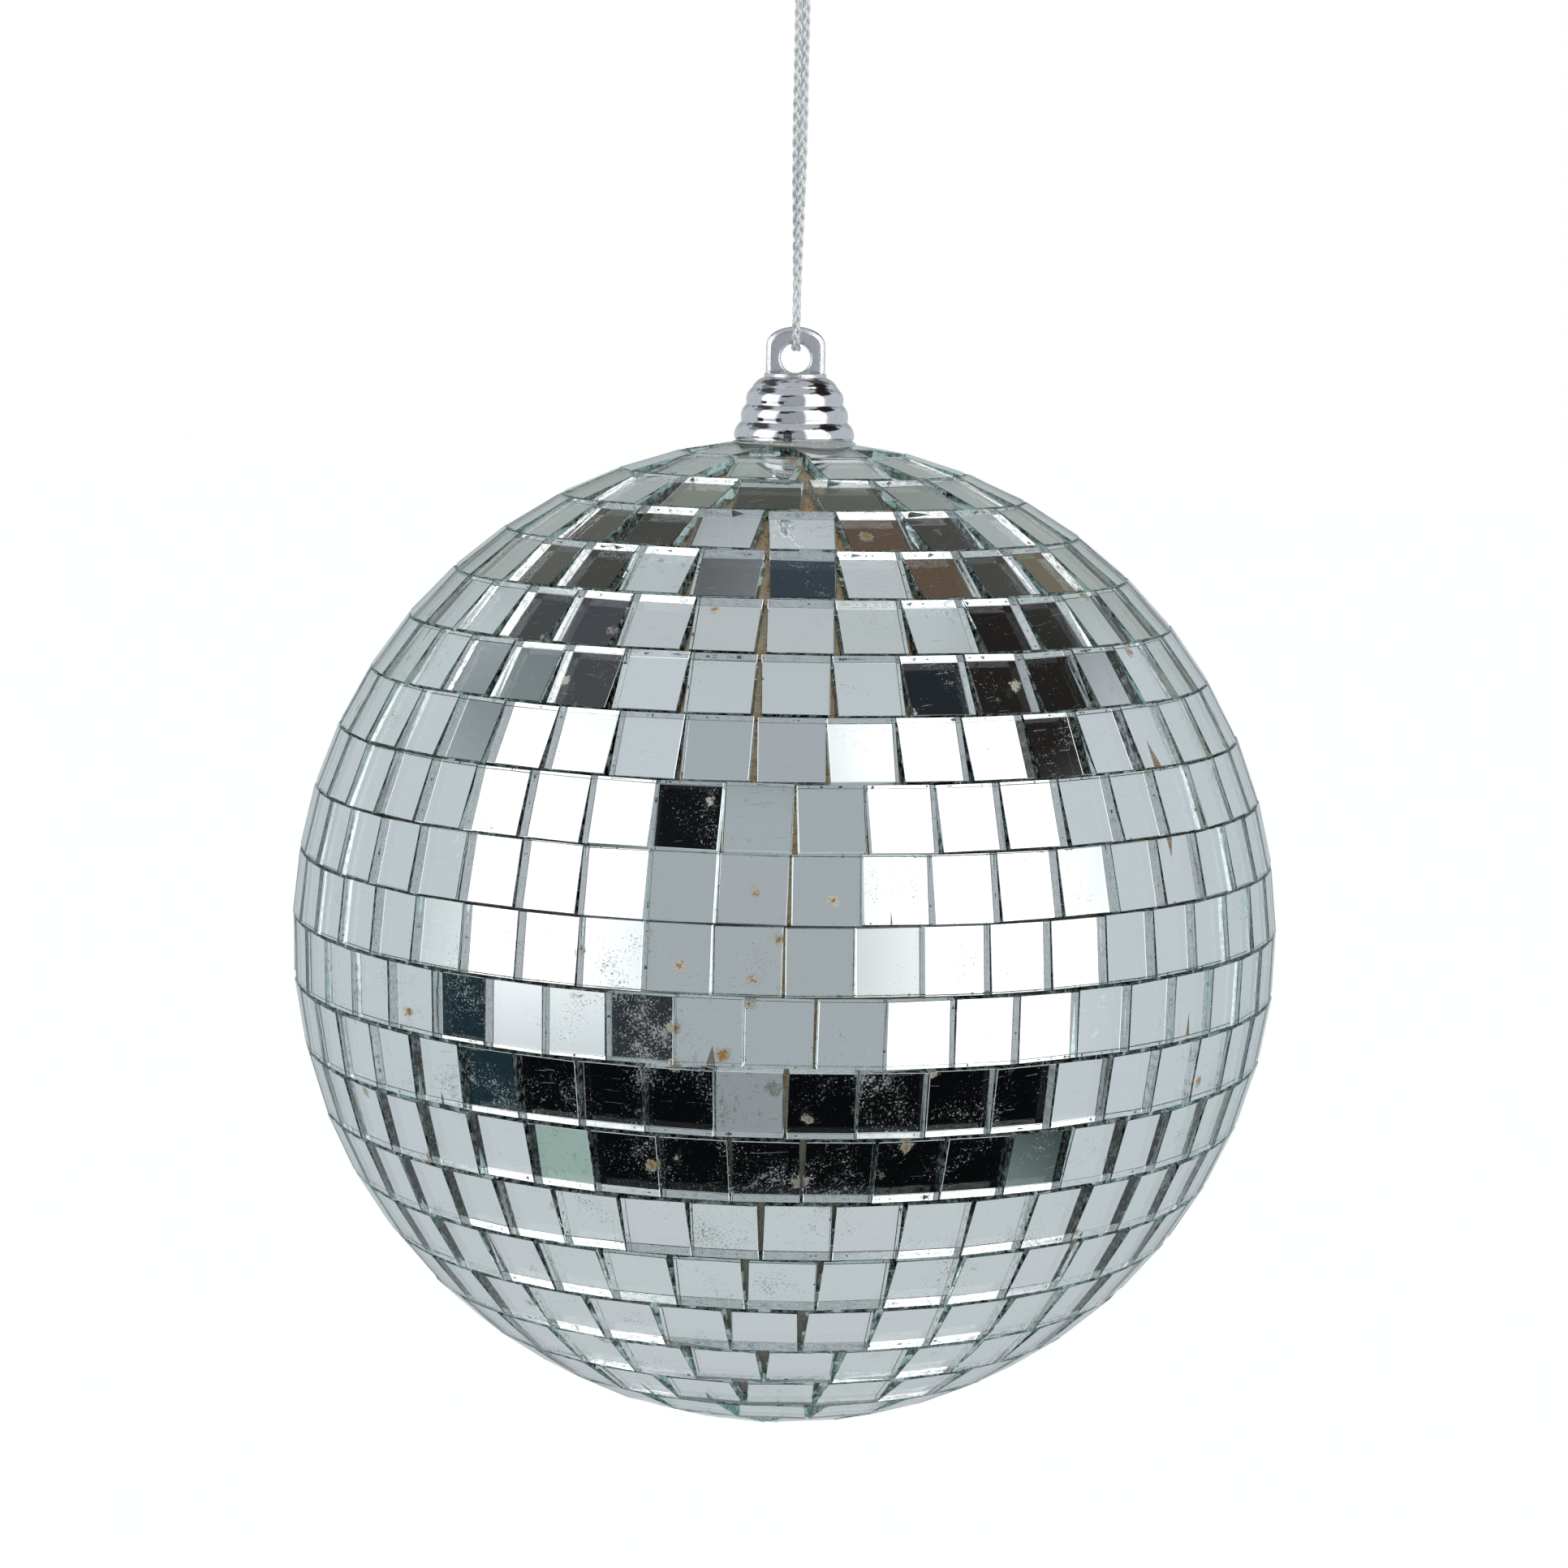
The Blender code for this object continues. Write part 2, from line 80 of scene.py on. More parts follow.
# Tiles are cut and laid by hand, so none is quite square or quite level
SILVER, GLASS, EDGE = 0, 1, 2      # the parts of a tile, in the order of their materials
TILE_ARRIS = 0.07 * MM             # the worn edge round a tile's face
TILT_SCATTER = math.radians(0.45)
TURN_SCATTER = math.radians(0.5)
SIZE_SCATTER = 0.010
STAND_SCATTER = 0.05 * MM
CORNER_SCATTER = 0.14 * MM
CORNER_DRIFT = 5 * MM              # corners this close to each other move much the same way
WIDEST_TILE = 1.045                # the cutter stretched a tile this much to fill its strip
SEED_STEP = 10                     # keeps the random draws of two strips apart

# Cap, eyelet and glue: radii, and heights above the ball's centre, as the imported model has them
CAP_RIM_HEIGHT = 77.75 * MM
CAP_WALL = 1.2 * MM
CAP_OUTLINE = (                    # radius and height in mm: a rim, two soft bulges and a dome
    (9.2, 77.75), (9.40, 78.1), (9.47, 78.6), (9.40, 79.1), (9.12, 79.8), (8.66, 80.35),
    (8.36, 80.62), (8.36, 80.95), (8.44, 81.4), (8.40, 82.0), (8.2, 82.6), (7.88, 83.05),
    (7.6, 83.32), (7.6, 83.65), (7.66, 84.1), (7.6, 84.7), (7.36, 85.25), (6.98, 85.7),
    (6.74, 85.95), (6.52, 86.4), (6.1, 86.9), (5.5, 87.35), (4.95, 87.57),
)
CAP_BORE = (                       # the hollow inside, from the hole down to the rim
    (2.9, 87.57), (2.9, 86.3), (4.6, 86.1), (5.5, 85.3), (6.35, 83.5), (7.0, 82.2), (7.25, 80.8),
    (8.1, 79.5), (8.1, 77.75),
)
NOTCH_WIDTH = 1.3 * MM
NOTCH_HEIGHT = 1.9 * MM
NOTCH_SHIFT = -1.0 * MM
NOTCH_SIDES = 32
GLUE_INNER, GLUE_OUTER = 3.3 * MM, 7.7 * MM
GLUE_BOTTOM, GLUE_TOP = 78.4 * MM, 80.3 * MM
GLUE_SKIRT, GLUE_SAG, GLUE_LIP = 0.6 * MM, 0.4 * MM, 0.1 * MM
OOZE_REACH, OOZE_HEIGHT = 9.15 * MM, 77.42 * MM
OOZE_SPREAD, OOZE_RISE, OOZE_DROOP = 1.0 * MM, 0.42 * MM, 0.18 * MM
OOZE_PUSH = 0.8 * MM               # how far the biggest lump stands out from the rest
OOZE_LUMP_AT = math.radians(300)   # at the front right
OOZE_STEPS, OOZE_SIDES = 120, 10
PEG_RADIUS = 2.3 * MM
PEG_TIP_HEIGHT = 48.0 * MM
PEG_POINT = 0.4 * MM
PEG_BARBS = 4
BARB_RADIUS = 2.8 * MM
BARB_PITCH = 5.0 * MM
BARB_LENGTH = 0.4 * BARB_PITCH
BARB_SHOULDER = 0.3 * MM
COLLAR_RADIUS = 4.9 * MM
COLLAR_BOTTOM, COLLAR_TOP = 87.6 * MM, 88.2 * MM
COLLAR_ROUND, COLLAR_ARRIS, COLLAR_DROP = 0.2 * MM, 0.05 * MM, 0.06 * MM
BORE_RADIUS = 3.2 * MM
BORE_BOTTOM = 46.0 * MM
TAB_HALF_WIDTH = 4.63 * MM
TAB_THICKNESS = 2.0 * MM
TAB_TOP = 95.5 * MM
TAB_CROWN = 2.9 * MM
TAB_ROOT = COLLAR_BOTTOM + 0.25 * MM    # the tab's lower end, inside the collar
TAB_BEVEL = (                      # mm in from the edge and back from the face
    (0.85, 0), (0.79, 0.012), (0.70, 0.05), (0.20, 0.34), (0.08, 0.44), (0, 0.62),
)
TAB_STEPS = 128
EYE_RADIUS = 2.32 * MM
EYE_HEIGHT = 90.6 * MM
EYE_FLARE = 0.45 * MM
EYE_FLARE_STEPS = 6

# Thread: routes in millimetres above the ball's centre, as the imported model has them
THREAD_DIAMETER = 1.0 * MM
KNOT_RADIUS, KNOT_HALF_HEIGHT = 2.0 * MM, 2.6 * MM
KNOT_HEIGHT = 153.0 * MM
KNOT_STEPS = 60
BIGHT_ROUTE = (
    (0.0, 92.05), (-0.75, 92.2), (-1.38, 92.62), (-1.8, 93.25), (-1.95, 94.0), (-1.95, 95.0),
    (-1.93, 96.2), (-1.8, 97.4),
)
STRAND_ROUTE = (
    (0.0, -1.72, 97.7), (0.0, -1.4, 99.2), (0.03, -0.95, 101.4), (0.1, -0.65, 104.5),
    (0.2, -0.52, 109.0), (0.34, -0.44, 114.0), (0.48, -0.3, 119.0), (0.54, -0.12, 125.0),
    (0.56, 0.06, 131.0), (0.54, 0.16, 137.0), (0.56, 0.08, 143.0), (0.6, 0.0, 148.0),
    (0.62, 0.0, 150.1),
)
LOOP_ROUTE = (
    (0.0, 172.0), (1.5, 171.7), (2.8, 170.8), (3.7, 169.4), (4.1, 167.6), (4.0, 165.4),
    (3.4, 163.0), (2.5, 160.6), (1.6, 158.4), (0.95, 156.9), (0.7, 155.95),
)
ROUTE_STEPS = 4
YARNS = 3
YARN_RADIUS = 0.27 * MM
YARN_SWING = 0.39 * MM             # how far a yarn wanders to each side
YARN_LIFT = 0.17 * MM
YARN_SIDES = 7
STITCH = 2.0 * MM                  # a yarn shows on the same side once in this length
STITCH_POINTS = 7
BUNCH_REACH = 2.4 * MM             # the stitches spread where the thread bends under the eye
BUNCH_SPREAD = 0.4

# Camera and floor
CAMERA_DISTANCE = 8 * BALL_RADIUS
CAMERA_ELEVATION = math.radians(9.5)
CAMERA_LENS = 89.55                # millimetres on a 36 mm sensor
CAMERA_ROLL = math.radians(1.14)
AIM = CENTRE + Vector((-0.5 * MM, 0, 23.2 * MM))
FLOOR_HEIGHT = -0.62               # of the table under the hanging ball
FLOOR_SIZE = 24.0

# What stands round the ball: name, azimuth, elevation, width and height in degrees (azimuth 0 is
# the camera's side, positive to its right), edge softness and colour
STUDIO = (
    ("far_wall_low", 180, 26, 68, 30, 12, "#A3A9A7"),
    ("far_walls_high", 180, 51, 205, 22, 5, "#464642"),
    ("far_window", 180, 42, 34, 12, 7, "#7E817A"),
    ("ceiling", 0, 90, 360, 52, 10, "#B2B7B9"),
    ("ceiling_beam_left", -133, 72, 40, 12, 6, "#56585A"),
    ("ceiling_beam_right", 145, 61, 60, 9, 5, "#5A4C40"),
    ("ceiling_hook", 165, 82, 50, 9, 4, "#363E47"),
    ("camera_side_wall", -4, 17, 62, 76, 4, "#9FA5A9"),
    ("softbox_left", -62, 15, 45, 55, 5, "#FFFFFF"),
    ("softbox_right", 50, 18, 50, 72, 7, "#FFFFFF"),
    ("lens_barrel", -25, 34, 24, 15, 3, "#121314"),
    ("lens_hood", -8, 40, 18, 11, 3, "#1A1B1C"),
    ("high_wall_right", 100, 47, 50, 28, 5, "#221F1D"),
    ("high_corner_right", 66, 58, 24, 11, 4, "#22262A"),
    ("shelf_left", -104, 37, 28, 16, 5, "#7B8386"),
    ("far_corner_left", -146, 38, 22, 14, 5, "#5B5A55"),
    ("far_corner_right", 143, 36, 16, 9, 5, "#6B6758"),
    ("high_wall_left", -103, 53, 46, 17, 6, "#45464A"),
    ("table_edge", 2, -37, 132, 28, 4, "#08090A"),
    ("table_gap", -8, -29, 12, 7, 3, "#8A8F92"),
    ("glass_table_left", -67, -42, 14, 15, 3, "#90A59E"),
    ("table_corner", 77, -36, 14, 14, 4, "#1A1D20"),
    ("glass_table_right", 70, -45, 13, 10, 4, "#90A59E"),
    ("stand_left", -34, -14, 14, 14, 3, "#2C2F33"),
    ("curtain_left", -80, -19, 17, 27, 4, "#1B2C32"),
)
SOFTBOX_POWER = 1.35               # how much brighter than white the two lamps are
SURROUND = "#BCC3C7"
TABLE_GLOW = "#BCC1C4"
TABLE_FROM, TABLE_TO = math.radians(-20), math.radians(-60)
ROOM_LIGHT = 1.14                  # makes up for what the mirrors themselves lose


def wire(node, inputs):
    """Gives a node's inputs their values, or links them to other nodes' outputs."""
    for key, value in dict(inputs).items():
        if isinstance(value, bpy.types.NodeSocket):
            node.id_data.links.new(value, node.inputs[key])
        else:
            node.inputs[key].default_value = value


def add_node(tree, kind, inputs=(), out=0, **settings):
    """Adds a node with its settings and inputs, and returns the output that is asked for."""
    made = tree.nodes.new(kind)
    for name, value in settings.items():
        setattr(made, name, value)
    wire(made, inputs)
    return made.outputs[out] if made.outputs else None


def colour(hex_code):
    """An sRGB hex value as linear red, green, blue and an alpha of 1."""
    shares = [int(hex_code[at:at + 2], 16) / 255 for at in (1, 3, 5)]
    linear = [s / 12.92 if s <= 0.04045 else ((s + 0.055) / 1.055) ** 2.4 for s in shares]
    return (*linear, 1)


# ---- Studio ----

def build_world():
    """A light tent seen by direction: pale walls, two soft white lamps and the dark room above.
    The camera itself sees plain white behind the ball."""
    world = bpy.data.worlds.new("light_tent")
    bpy.context.scene.world = world
    world.use_nodes = True
    tree = world.node_tree
    tree.nodes.clear()
    add = partial(add_node, tree)
    way = add("ShaderNodeTexCoord", out="Generated")
    axes = add("ShaderNodeSeparateXYZ", {0: way}).node.outputs
    rear = add("ShaderNodeMath", {0: axes["Y"], 1: -1.0}, operation="MULTIPLY")
    azimuth = add("ShaderNodeMath", {0: axes["X"], 1: rear}, operation="ARCTAN2")
    elevation = add("ShaderNodeMath", {0: axes["Z"]}, operation="ARCSINE")

    def inside(angle, middle, width, soft):
        """1 where the angle is within the width about the middle, fading over the soft edge."""
        off = add("ShaderNodeMath", {0: angle, 1: math.radians(middle)}, operation="SUBTRACT")
        turned = add("ShaderNodeMath", {0: off, 1: math.pi, 2: -math.pi}, operation="WRAP")
        away = add("ShaderNodeMath", {0: turned}, operation="ABSOLUTE")
        outer, inner = math.radians((width + soft) / 2), math.radians((width - soft) / 2)
        return add(
            "ShaderNodeMapRange", {"Value": away, "From Min": outer, "From Max": inner},
            interpolation_type="SMOOTHSTEP",
        )

    below = add(
        "ShaderNodeMapRange",
        {"Value": elevation, "From Min": TABLE_FROM, "From Max": TABLE_TO},
    )
    light = add(
        "ShaderNodeMix", {0: below, 6: colour(SURROUND), 7: colour(TABLE_GLOW)}, out=2,
        data_type="RGBA",
    )
    for name, azimuth_middle, elevation_middle, width, height, soft, shade in STUDIO:
        across = inside(azimuth, azimuth_middle, width, soft)
        up = inside(elevation, elevation_middle, height, soft)
        share = add("ShaderNodeMath", {0: across, 1: up}, operation="MULTIPLY", label=name)
        power = SOFTBOX_POWER if name.startswith("softbox") else 1
        lit = [part * power for part in colour(shade)[:3]] + [1]
        light = add("ShaderNodeMix", {0: share, 6: light, 7: lit}, out=2, data_type="RGBA")
    room = add("ShaderNodeBackground", {"Color": light, "Strength": ROOM_LIGHT})
    plain = add("ShaderNodeBackground", {"Color": (1, 1, 1, 1), "Strength": 1.0})
    seen = add("ShaderNodeLightPath", out="Is Camera Ray")
    mixed = add("ShaderNodeMixShader", {0: seen, 1: room, 2: plain})
    add("ShaderNodeOutputWorld", {"Surface": mixed})


def build_camera():
    data = bpy.data.cameras.new("camera")
    data.lens = CAMERA_LENS
    data.sensor_width = 36
    camera = bpy.data.objects.new("camera", data)
    bpy.context.scene.collection.objects.link(camera)
    back = Vector((0, -math.cos(CAMERA_ELEVATION), math.sin(CAMERA_ELEVATION)))
    camera.location = CENTRE + back * CAMERA_DISTANCE
    look = (AIM - camera.location).to_track_quat("-Z", "Y")
    camera.rotation_mode = "QUATERNION"
    camera.rotation_quaternion = look @ Quaternion((0, 0, 1), CAMERA_ROLL)
    bpy.context.scene.camera = camera


def build_floor():
    bm = bmesh.new()
    bmesh.ops.create_grid(bm, x_segments=1, y_segments=1, size=FLOOR_SIZE / 2)
    bmesh.ops.translate(bm, verts=bm.verts, vec=(0, 0, FLOOR_HEIGHT))
    floor = mesh_object("pale_floor", bm, [make_paper()])
    floor.visible_glossy = False
    floor.visible_transmission = False


# ---- Materials ----

def new_material(name):
    """A material, the function that adds its nodes and its shader, ready for a finish."""
    made = bpy.data.materials.new(name)
    made.use_nodes = True
    tree = made.node_tree
    return made, partial(add_node, tree), tree.nodes["Principled BSDF"]


def make_paper():
    """White paper sweep: matt, with nothing on it to catch the eye."""
    made, _, shader = new_material("white_paper")
    wire(shader, {
        "Base Color": colour("#FAFAFA"), "Roughness": 0.9, "Specular IOR Level": 0.1,
        "Emission Color": colour("#FFFFFF"), "Emission Strength": 0.5,
    })
    return made


def make_silvering():
    """Silver coating seen through the back of a cut mirror: bright, with dust ground into it,
    hair scratches, rust spots that crept in round the front, and a few chips at the cut edges."""
    made, add, shader = new_material("mirror_silvering")
    place = add("ShaderNodeTexCoord", out="Object")
    tone = add("ShaderNodeAttribute", out="Fac", attribute_name="tile_tone")

    # Noise for each kind of wear, with the size of its lumps in millimetres
    noise = {}
    for wear, size, detail, roughness in (
        ("specks", 0.33, 3.0, 0.75), ("drifts", 7, 3.0, 0.5), ("haze", 1.4, 4.0, 0.7),
        ("strokes", 3.0, 2.0, 0.5), ("rust", 0.7, 3.0, 0.7), ("chips", 1.3, 4.0, 0.65),
    ):
        noise[wear] = add(
            "ShaderNodeTexNoise",
            {"Vector": place, "Scale": 1 / (size * MM), "Detail": detail, "Roughness": roughness},
            out="Fac",
        )
    # Two places on the front, in millimetres from the middle: 1 at the place and 0 far from it
    near = {}
    for wear, spot, inner, outer in (
        ("handled", (-18, -74, -18), 12, 60), ("splashed", (-6, -77, -2), 8, 34),
    ):
        away = add(
            "ShaderNodeVectorMath", {0: place, 1: CENTRE + Vector(spot) * MM}, out="Value",
            operation="DISTANCE",
        )
        near[wear] = add(
            "ShaderNodeMapRange",
            {"Value": away, "From Min": outer * MM, "From Max": inner * MM},
        )

    # Dust: specks of 0.2 to 0.5 mm in drifts, thickest low on the front left, where it was held
    thick = -0.335
    for cause, weight in ((near["handled"], 0.05), (noise["drifts"], 0.50), (tone, 0.05)):
        thick = add("ShaderNodeMath", {0: cause, 1: weight, 2: thick}, operation="MULTIPLY_ADD")
    dust, haze = [
        add(
            "ShaderNodeMapRange",
            {"Value": add("ShaderNodeMath", {0: noise[wear], 1: thick}, operation="ADD"),
             "From Min": low, "From Max": high, "To Max": top},
        )
        for wear, low, high, top in (("specks", 0.62, 0.69, 1.0), ("haze", 0.58, 0.82, 0.45))
    ]

    # Scratches: fine arcs left by wiping, broken into short strokes
    patch = add("ShaderNodeTexVoronoi", {"Vector": place, "Scale": 1 / (16 * MM)}, out="Color")
    whirl = add("ShaderNodeVectorMath", {0: patch, "Scale": 30 * MM}, operation="SCALE")
    swept = add("ShaderNodeVectorMath", {0: place, 1: whirl}, operation="ADD")
    arcs = add(
        "ShaderNodeTexWave",
        {"Vector": swept, "Scale": 1 / (5.5 * MM), "Distortion": 0.9, "Detail": 1.0},
        out="Fac", wave_type="RINGS", rings_direction="SPHERICAL",
    )
    line = add(
        "ShaderNodeMapRange",
        {"Value": arcs, "From Min": 0.985, "From Max": 1.0, "To Max": 0.22},
    )
    stroke = add(
        "ShaderNodeMapRange", {"Value": noise["strokes"], "From Min": 0.52, "From Max": 0.62},
    )
    scratch = add("ShaderNodeMath", {0: line, 1: stroke}, operation="MULTIPLY")

    # Rust: orange spots about a millimetre wide in pale rings, most of them near the front
    cells = add("ShaderNodeTexVoronoi", {"Vector": place, "Scale": 1 / (3.6 * MM)}).node.outputs
    lots = add("ShaderNodeSeparateColor", {0: cells["Color"]}).node.outputs
    bar = add("ShaderNodeMath", {0: near["splashed"], 1: -0.30, 2: 0.955}, operation="MULTIPLY_ADD")
    drawn = add("ShaderNodeMath", {0: lots[0], 1: bar}, operation="GREATER_THAN")
    ragged = cells["Distance"]
    for cause, weight in ((noise["rust"], 0.75), (lots[1], 0.14)):
        ragged = add("ShaderNodeMath", {0: cause, 1: weight, 2: ragged}, operation="MULTIPLY_ADD")
    rust, halo = [
        add(
            "ShaderNodeMath",
            {0: add(
                "ShaderNodeMapRange",
                {"Value": ragged, "From Min": outer, "From Max": inner, "To Max": top},
            ), 1: drawn},
            operation="MULTIPLY",
        )
        for outer, inner, top in ((0.60, 0.52, 0.95), (0.78, 0.60, 0.55))
    ]

    # Chips: now and then a shell of silver is missing at a tile's edge
    chart = add("ShaderNodeUVMap", uv_map="UVMap")
    flat = add("ShaderNodeSeparateXYZ", {0: chart}).node.outputs
    gaps = []
    for axis, size in (("X", TILE_WIDTH), ("Y", TILE_HEIGHT)):
        rest = add("ShaderNodeMath", {0: 1.0, 1: flat[axis]}, operation="SUBTRACT")
        least = add("ShaderNodeMath", {0: flat[axis], 1: rest}, operation="MINIMUM")
        gaps.append(add("ShaderNodeMath", {0: least, 1: size}, operation="MULTIPLY"))
    rim = add("ShaderNodeMath", dict(enumerate(gaps)), operation="MINIMUM")
    bite = add(
        "ShaderNodeMapRange",
        {"Value": noise["chips"], "From Min": 0.60, "From Max": 0.78, "To Max": 0.7 * MM},
    )
    chip = add("ShaderNodeMath", {0: rim, 1: bite}, operation="LESS_THAN")

    # The coating's own tint differs a little from one sheet of mirror to another
    finish = colour("#F5F6F9")
    for share, shade in (
        (tone, "#F2F6F6"), (haze, "#E9EDF0"), (dust, "#FFFFFF"), (scratch, "#E8EBED"),
        (halo, "#FFF0D2"), (rust, "#F2A63C"), (chip, "#7B8484"),
    ):
        finish = add(
            "ShaderNodeMix", {0: share, 6: finish, 7: colour(shade)}, out=2,
            data_type="RGBA",
        )
    # Dust scatters light but hides no metal; rust and bare glass do
    bare = add("ShaderNodeMath", {0: rust, 1: chip}, operation="MAXIMUM")
    worn = bare
    for wear in (dust, haze, halo, scratch):
        worn = add("ShaderNodeMath", {0: worn, 1: wear}, operation="MAXIMUM")
    wire(shader, {
        "Base Color": finish,
        "Metallic": add("ShaderNodeMapRange", {"Value": bare, "To Min": 1.0, "To Max": 0.1}),
        "Roughness": add("ShaderNodeMapRange", {"Value": worn, "To Min": 0.012, "To Max": 0.8}),
    })
    return made


def make_float_glass():
    """Cut float glass, 1.8 mm: clear, with a trace of green, over the silvering."""
    made, _, shader = new_material("float_glass")
    wire(shader, {
        "Base Color": colour("#FDFFFE"), "Transmission Weight": 1.0, "IOR": 1.52,
        "Roughness": 0.0,
    })
    return made


def make_broken_edge():
    """The scored and snapped edge of the glass: nearly as clear as the face, with a slight
    ripple, and teal because light comes a long way through the sheet to reach it. Its IOR is
    under glass's 1.52, because so rough an edge lets out light that a flat one traps."""
    made, add, shader = new_material("snapped_glass_edge")
    place = add("ShaderNodeTexCoord", out="Object")
    chips = add(
        "ShaderNodeTexNoise",
        {"Vector": place, "Scale": 1 / (1.1 * MM), "Detail": 3.0, "Roughness": 0.6}, out="Fac",
    )
    milky = add("ShaderNodeMapRange", {"Value": chips, "From Min": 0.44, "From Max": 0.72})
    wire(shader, {
        "Base Color": add(
            "ShaderNodeMix", {0: milky, 6: colour("#D8F0EC"), 7: colour("#F2FAF9")}, out=2,
            data_type="RGBA",
        ),
        "Transmission Weight": add(
            "ShaderNodeMapRange", {"Value": milky, "To Min": 1.0, "To Max": 0.55},
        ),
        "Roughness": add("ShaderNodeMapRange", {"Value": milky, "To Min": 0.03, "To Max": 0.25}),
        "IOR": 1.2,
        "Normal": add("ShaderNodeBump", {"Strength": 0.15, "Distance": 0.05 * MM, "Height": chips}),
    })
    return made


def make_tape():
    """Woven cotton tape soaked with glue, with rust dust caught in it where the tiles gape. The
    tape turns a darker grey towards the bottom, and the rust is in the upper half."""
    made, add, shader = new_material("glued_cotton_tape")
    place = add("ShaderNodeTexCoord", out="Object")
    grain = add(
        "ShaderNodeTexNoise",
        {"Vector": place, "Scale": 1 / (0.5 * MM), "Detail": 4.0, "Roughness": 0.7}, out="Fac",
    )
    soak = add(
        "ShaderNodeTexNoise", {"Vector": place, "Scale": 1 / (3.5 * MM), "Detail": 3.0},
        out="Fac",
    )
    thread = add(
        "ShaderNodeTexVoronoi", {"Vector": place, "Scale": 1 / (0.55 * MM)}, out="Distance",
        distance="CHEBYCHEV",
    )
    rusty = add("ShaderNodeMapRange", {"Value": soak, "From Min": 0.42, "From Max": 0.58})
    specked = add("ShaderNodeMapRange", {"Value": grain, "From Min": 0.45, "From Max": 0.6})
    rusted = add("ShaderNodeMath", {0: rusty, 1: specked}, operation="MULTIPLY")
    height = add("ShaderNodeSeparateXYZ", {0: place}, out="Z")
    # The tape turns a darker grey towards the bottom of the ball, over the rust
    low = add(
        "ShaderNodeMapRange",
        {"Value": height, "From Min": CENTRE.z + 5 * MM, "From Max": CENTRE.z - 20 * MM,
         "To Max": 0.8},
    )
    shade = colour("#E4D6BA")
    for share, over in ((thread, "#B79E78"), (rusted, "#B5651D"), (low, "#6E7470")):
        shade = add("ShaderNodeMix", {0: share, 6: shade, 7: colour(over)}, out=2, data_type="RGBA")
    wire(shader, {
        "Base Color": shade,
        "Roughness": 0.8,
        "Normal": add("ShaderNodeBump", {"Strength": 0.6, "Distance": 0.15 * MM, "Height": grain}),
    })
    return made


def make_chrome(name, pitting, blur):
    """ABS with a vacuum-metallised chrome coat: a soft lilac-grey mirror with moulding ripple,
    a little grain where it was handled, and dull pinholes."""
    made, add, shader = new_material(name)
    place = add("ShaderNodeTexCoord", out="Object")
    wave = add(
        "ShaderNodeTexNoise", {"Vector": place, "Scale": 1 / (3 * MM), "Detail": 1.0},
        out="Fac",
    )
    grain = add(
        "ShaderNodeTexNoise",
        {"Vector": place, "Scale": 1 / (0.35 * MM), "Detail": 3.0, "Roughness": 0.7}, out="Fac",
    )
    dull = add("ShaderNodeMapRange", {"Value": grain, "From Min": 0.60, "From Max": 0.72})
    rise = add("ShaderNodeMath", {0: grain, 1: pitting, 2: wave}, operation="MULTIPLY_ADD")
    wire(shader, {
        "Base Color": add(
            "ShaderNodeMix", {0: dull, 6: colour("#E2E1E6"), 7: colour("#8F8E92")}, out=2,
            data_type="RGBA",
        ),
        "Metallic": 1.0,
        "Roughness": add("ShaderNodeMapRange", {"Value": dull, "To Min": blur, "To Max": 0.35}),
        "Normal": add("ShaderNodeBump", {"Strength": 0.7, "Distance": 0.09 * MM, "Height": rise}),
    })
    return made


def make_glue():
    """Hot-melt glue, squeezed out and set: clear and waxy, with fine bubbles."""
    made, add, shader = new_material("hot_melt_glue")
    place = add("ShaderNodeTexCoord", out="Object")
    bubbles = add(
        "ShaderNodeTexVoronoi", {"Vector": place, "Scale": 1 / (0.7 * MM)}, out="Distance",
    )
    foggy = add("ShaderNodeMapRange", {"Value": bubbles, "From Min": 0.30, "From Max": 0.15})
    wire(shader, {
        "Base Color": add(
            "ShaderNodeMix", {0: foggy, 6: colour("#EEF1EE"), 7: colour("#F8F7F2")}, out=2,
            data_type="RGBA",
        ),
        "Transmission Weight": add(
            "ShaderNodeMapRange", {"Value": foggy, "To Min": 0.5, "To Max": 0.2},
        ),
        "Roughness": 0.18,
        "IOR": 1.49,
    })
    return made


def make_foam():
    """Expanded polystyrene: white beads of about 3 mm pressed together."""
    made, add, shader = new_material("expanded_polystyrene")
    place = add("ShaderNodeTexCoord", out="Object")
    beads = add(
        "ShaderNodeTexVoronoi", {"Vector": place, "Scale": 1 / (3 * MM)}, out="Distance",
        feature="DISTANCE_TO_EDGE",
    )
    seam = add("ShaderNodeMapRange", {"Value": beads, "From Max": 0.12})
    wire(shader, {
        "Base Color": add(
            "ShaderNodeMix", {0: seam, 6: colour("#B9A789"), 7: colour("#E9E6DC")}, out=2,
            data_type="RGBA",
        ),
        "Roughness": 0.75,
        "Normal": add("ShaderNodeBump", {"Strength": 0.6, "Distance": 0.2 * MM, "Height": seam}),
    })
    return made


def make_lurex():
    """Crocheted lurex yarn: metallised film wound on nylon, which glitters in small facets."""
    made, add, shader = new_material("silver_lurex_yarn")
    place = add("ShaderNodeTexCoord", out="Object")
    film = add("ShaderNodeTexVoronoi", {"Vector": place, "Scale": 1 / (0.45 * MM)}, out="Distance")
    wire(shader, {
        "Base Color": add(
            "ShaderNodeMix", {0: film, 6: colour("#FFFFFF"), 7: colour("#D2D7DA")}, out=2,
            data_type="RGBA",
        ),
        "Metallic": 0.6,
        "Roughness": 0.35,
        "Normal": add("ShaderNodeBump", {"Strength": 0.4, "Distance": 0.05 * MM, "Height": film}),
    })
    return made


# ---- Meshes ----

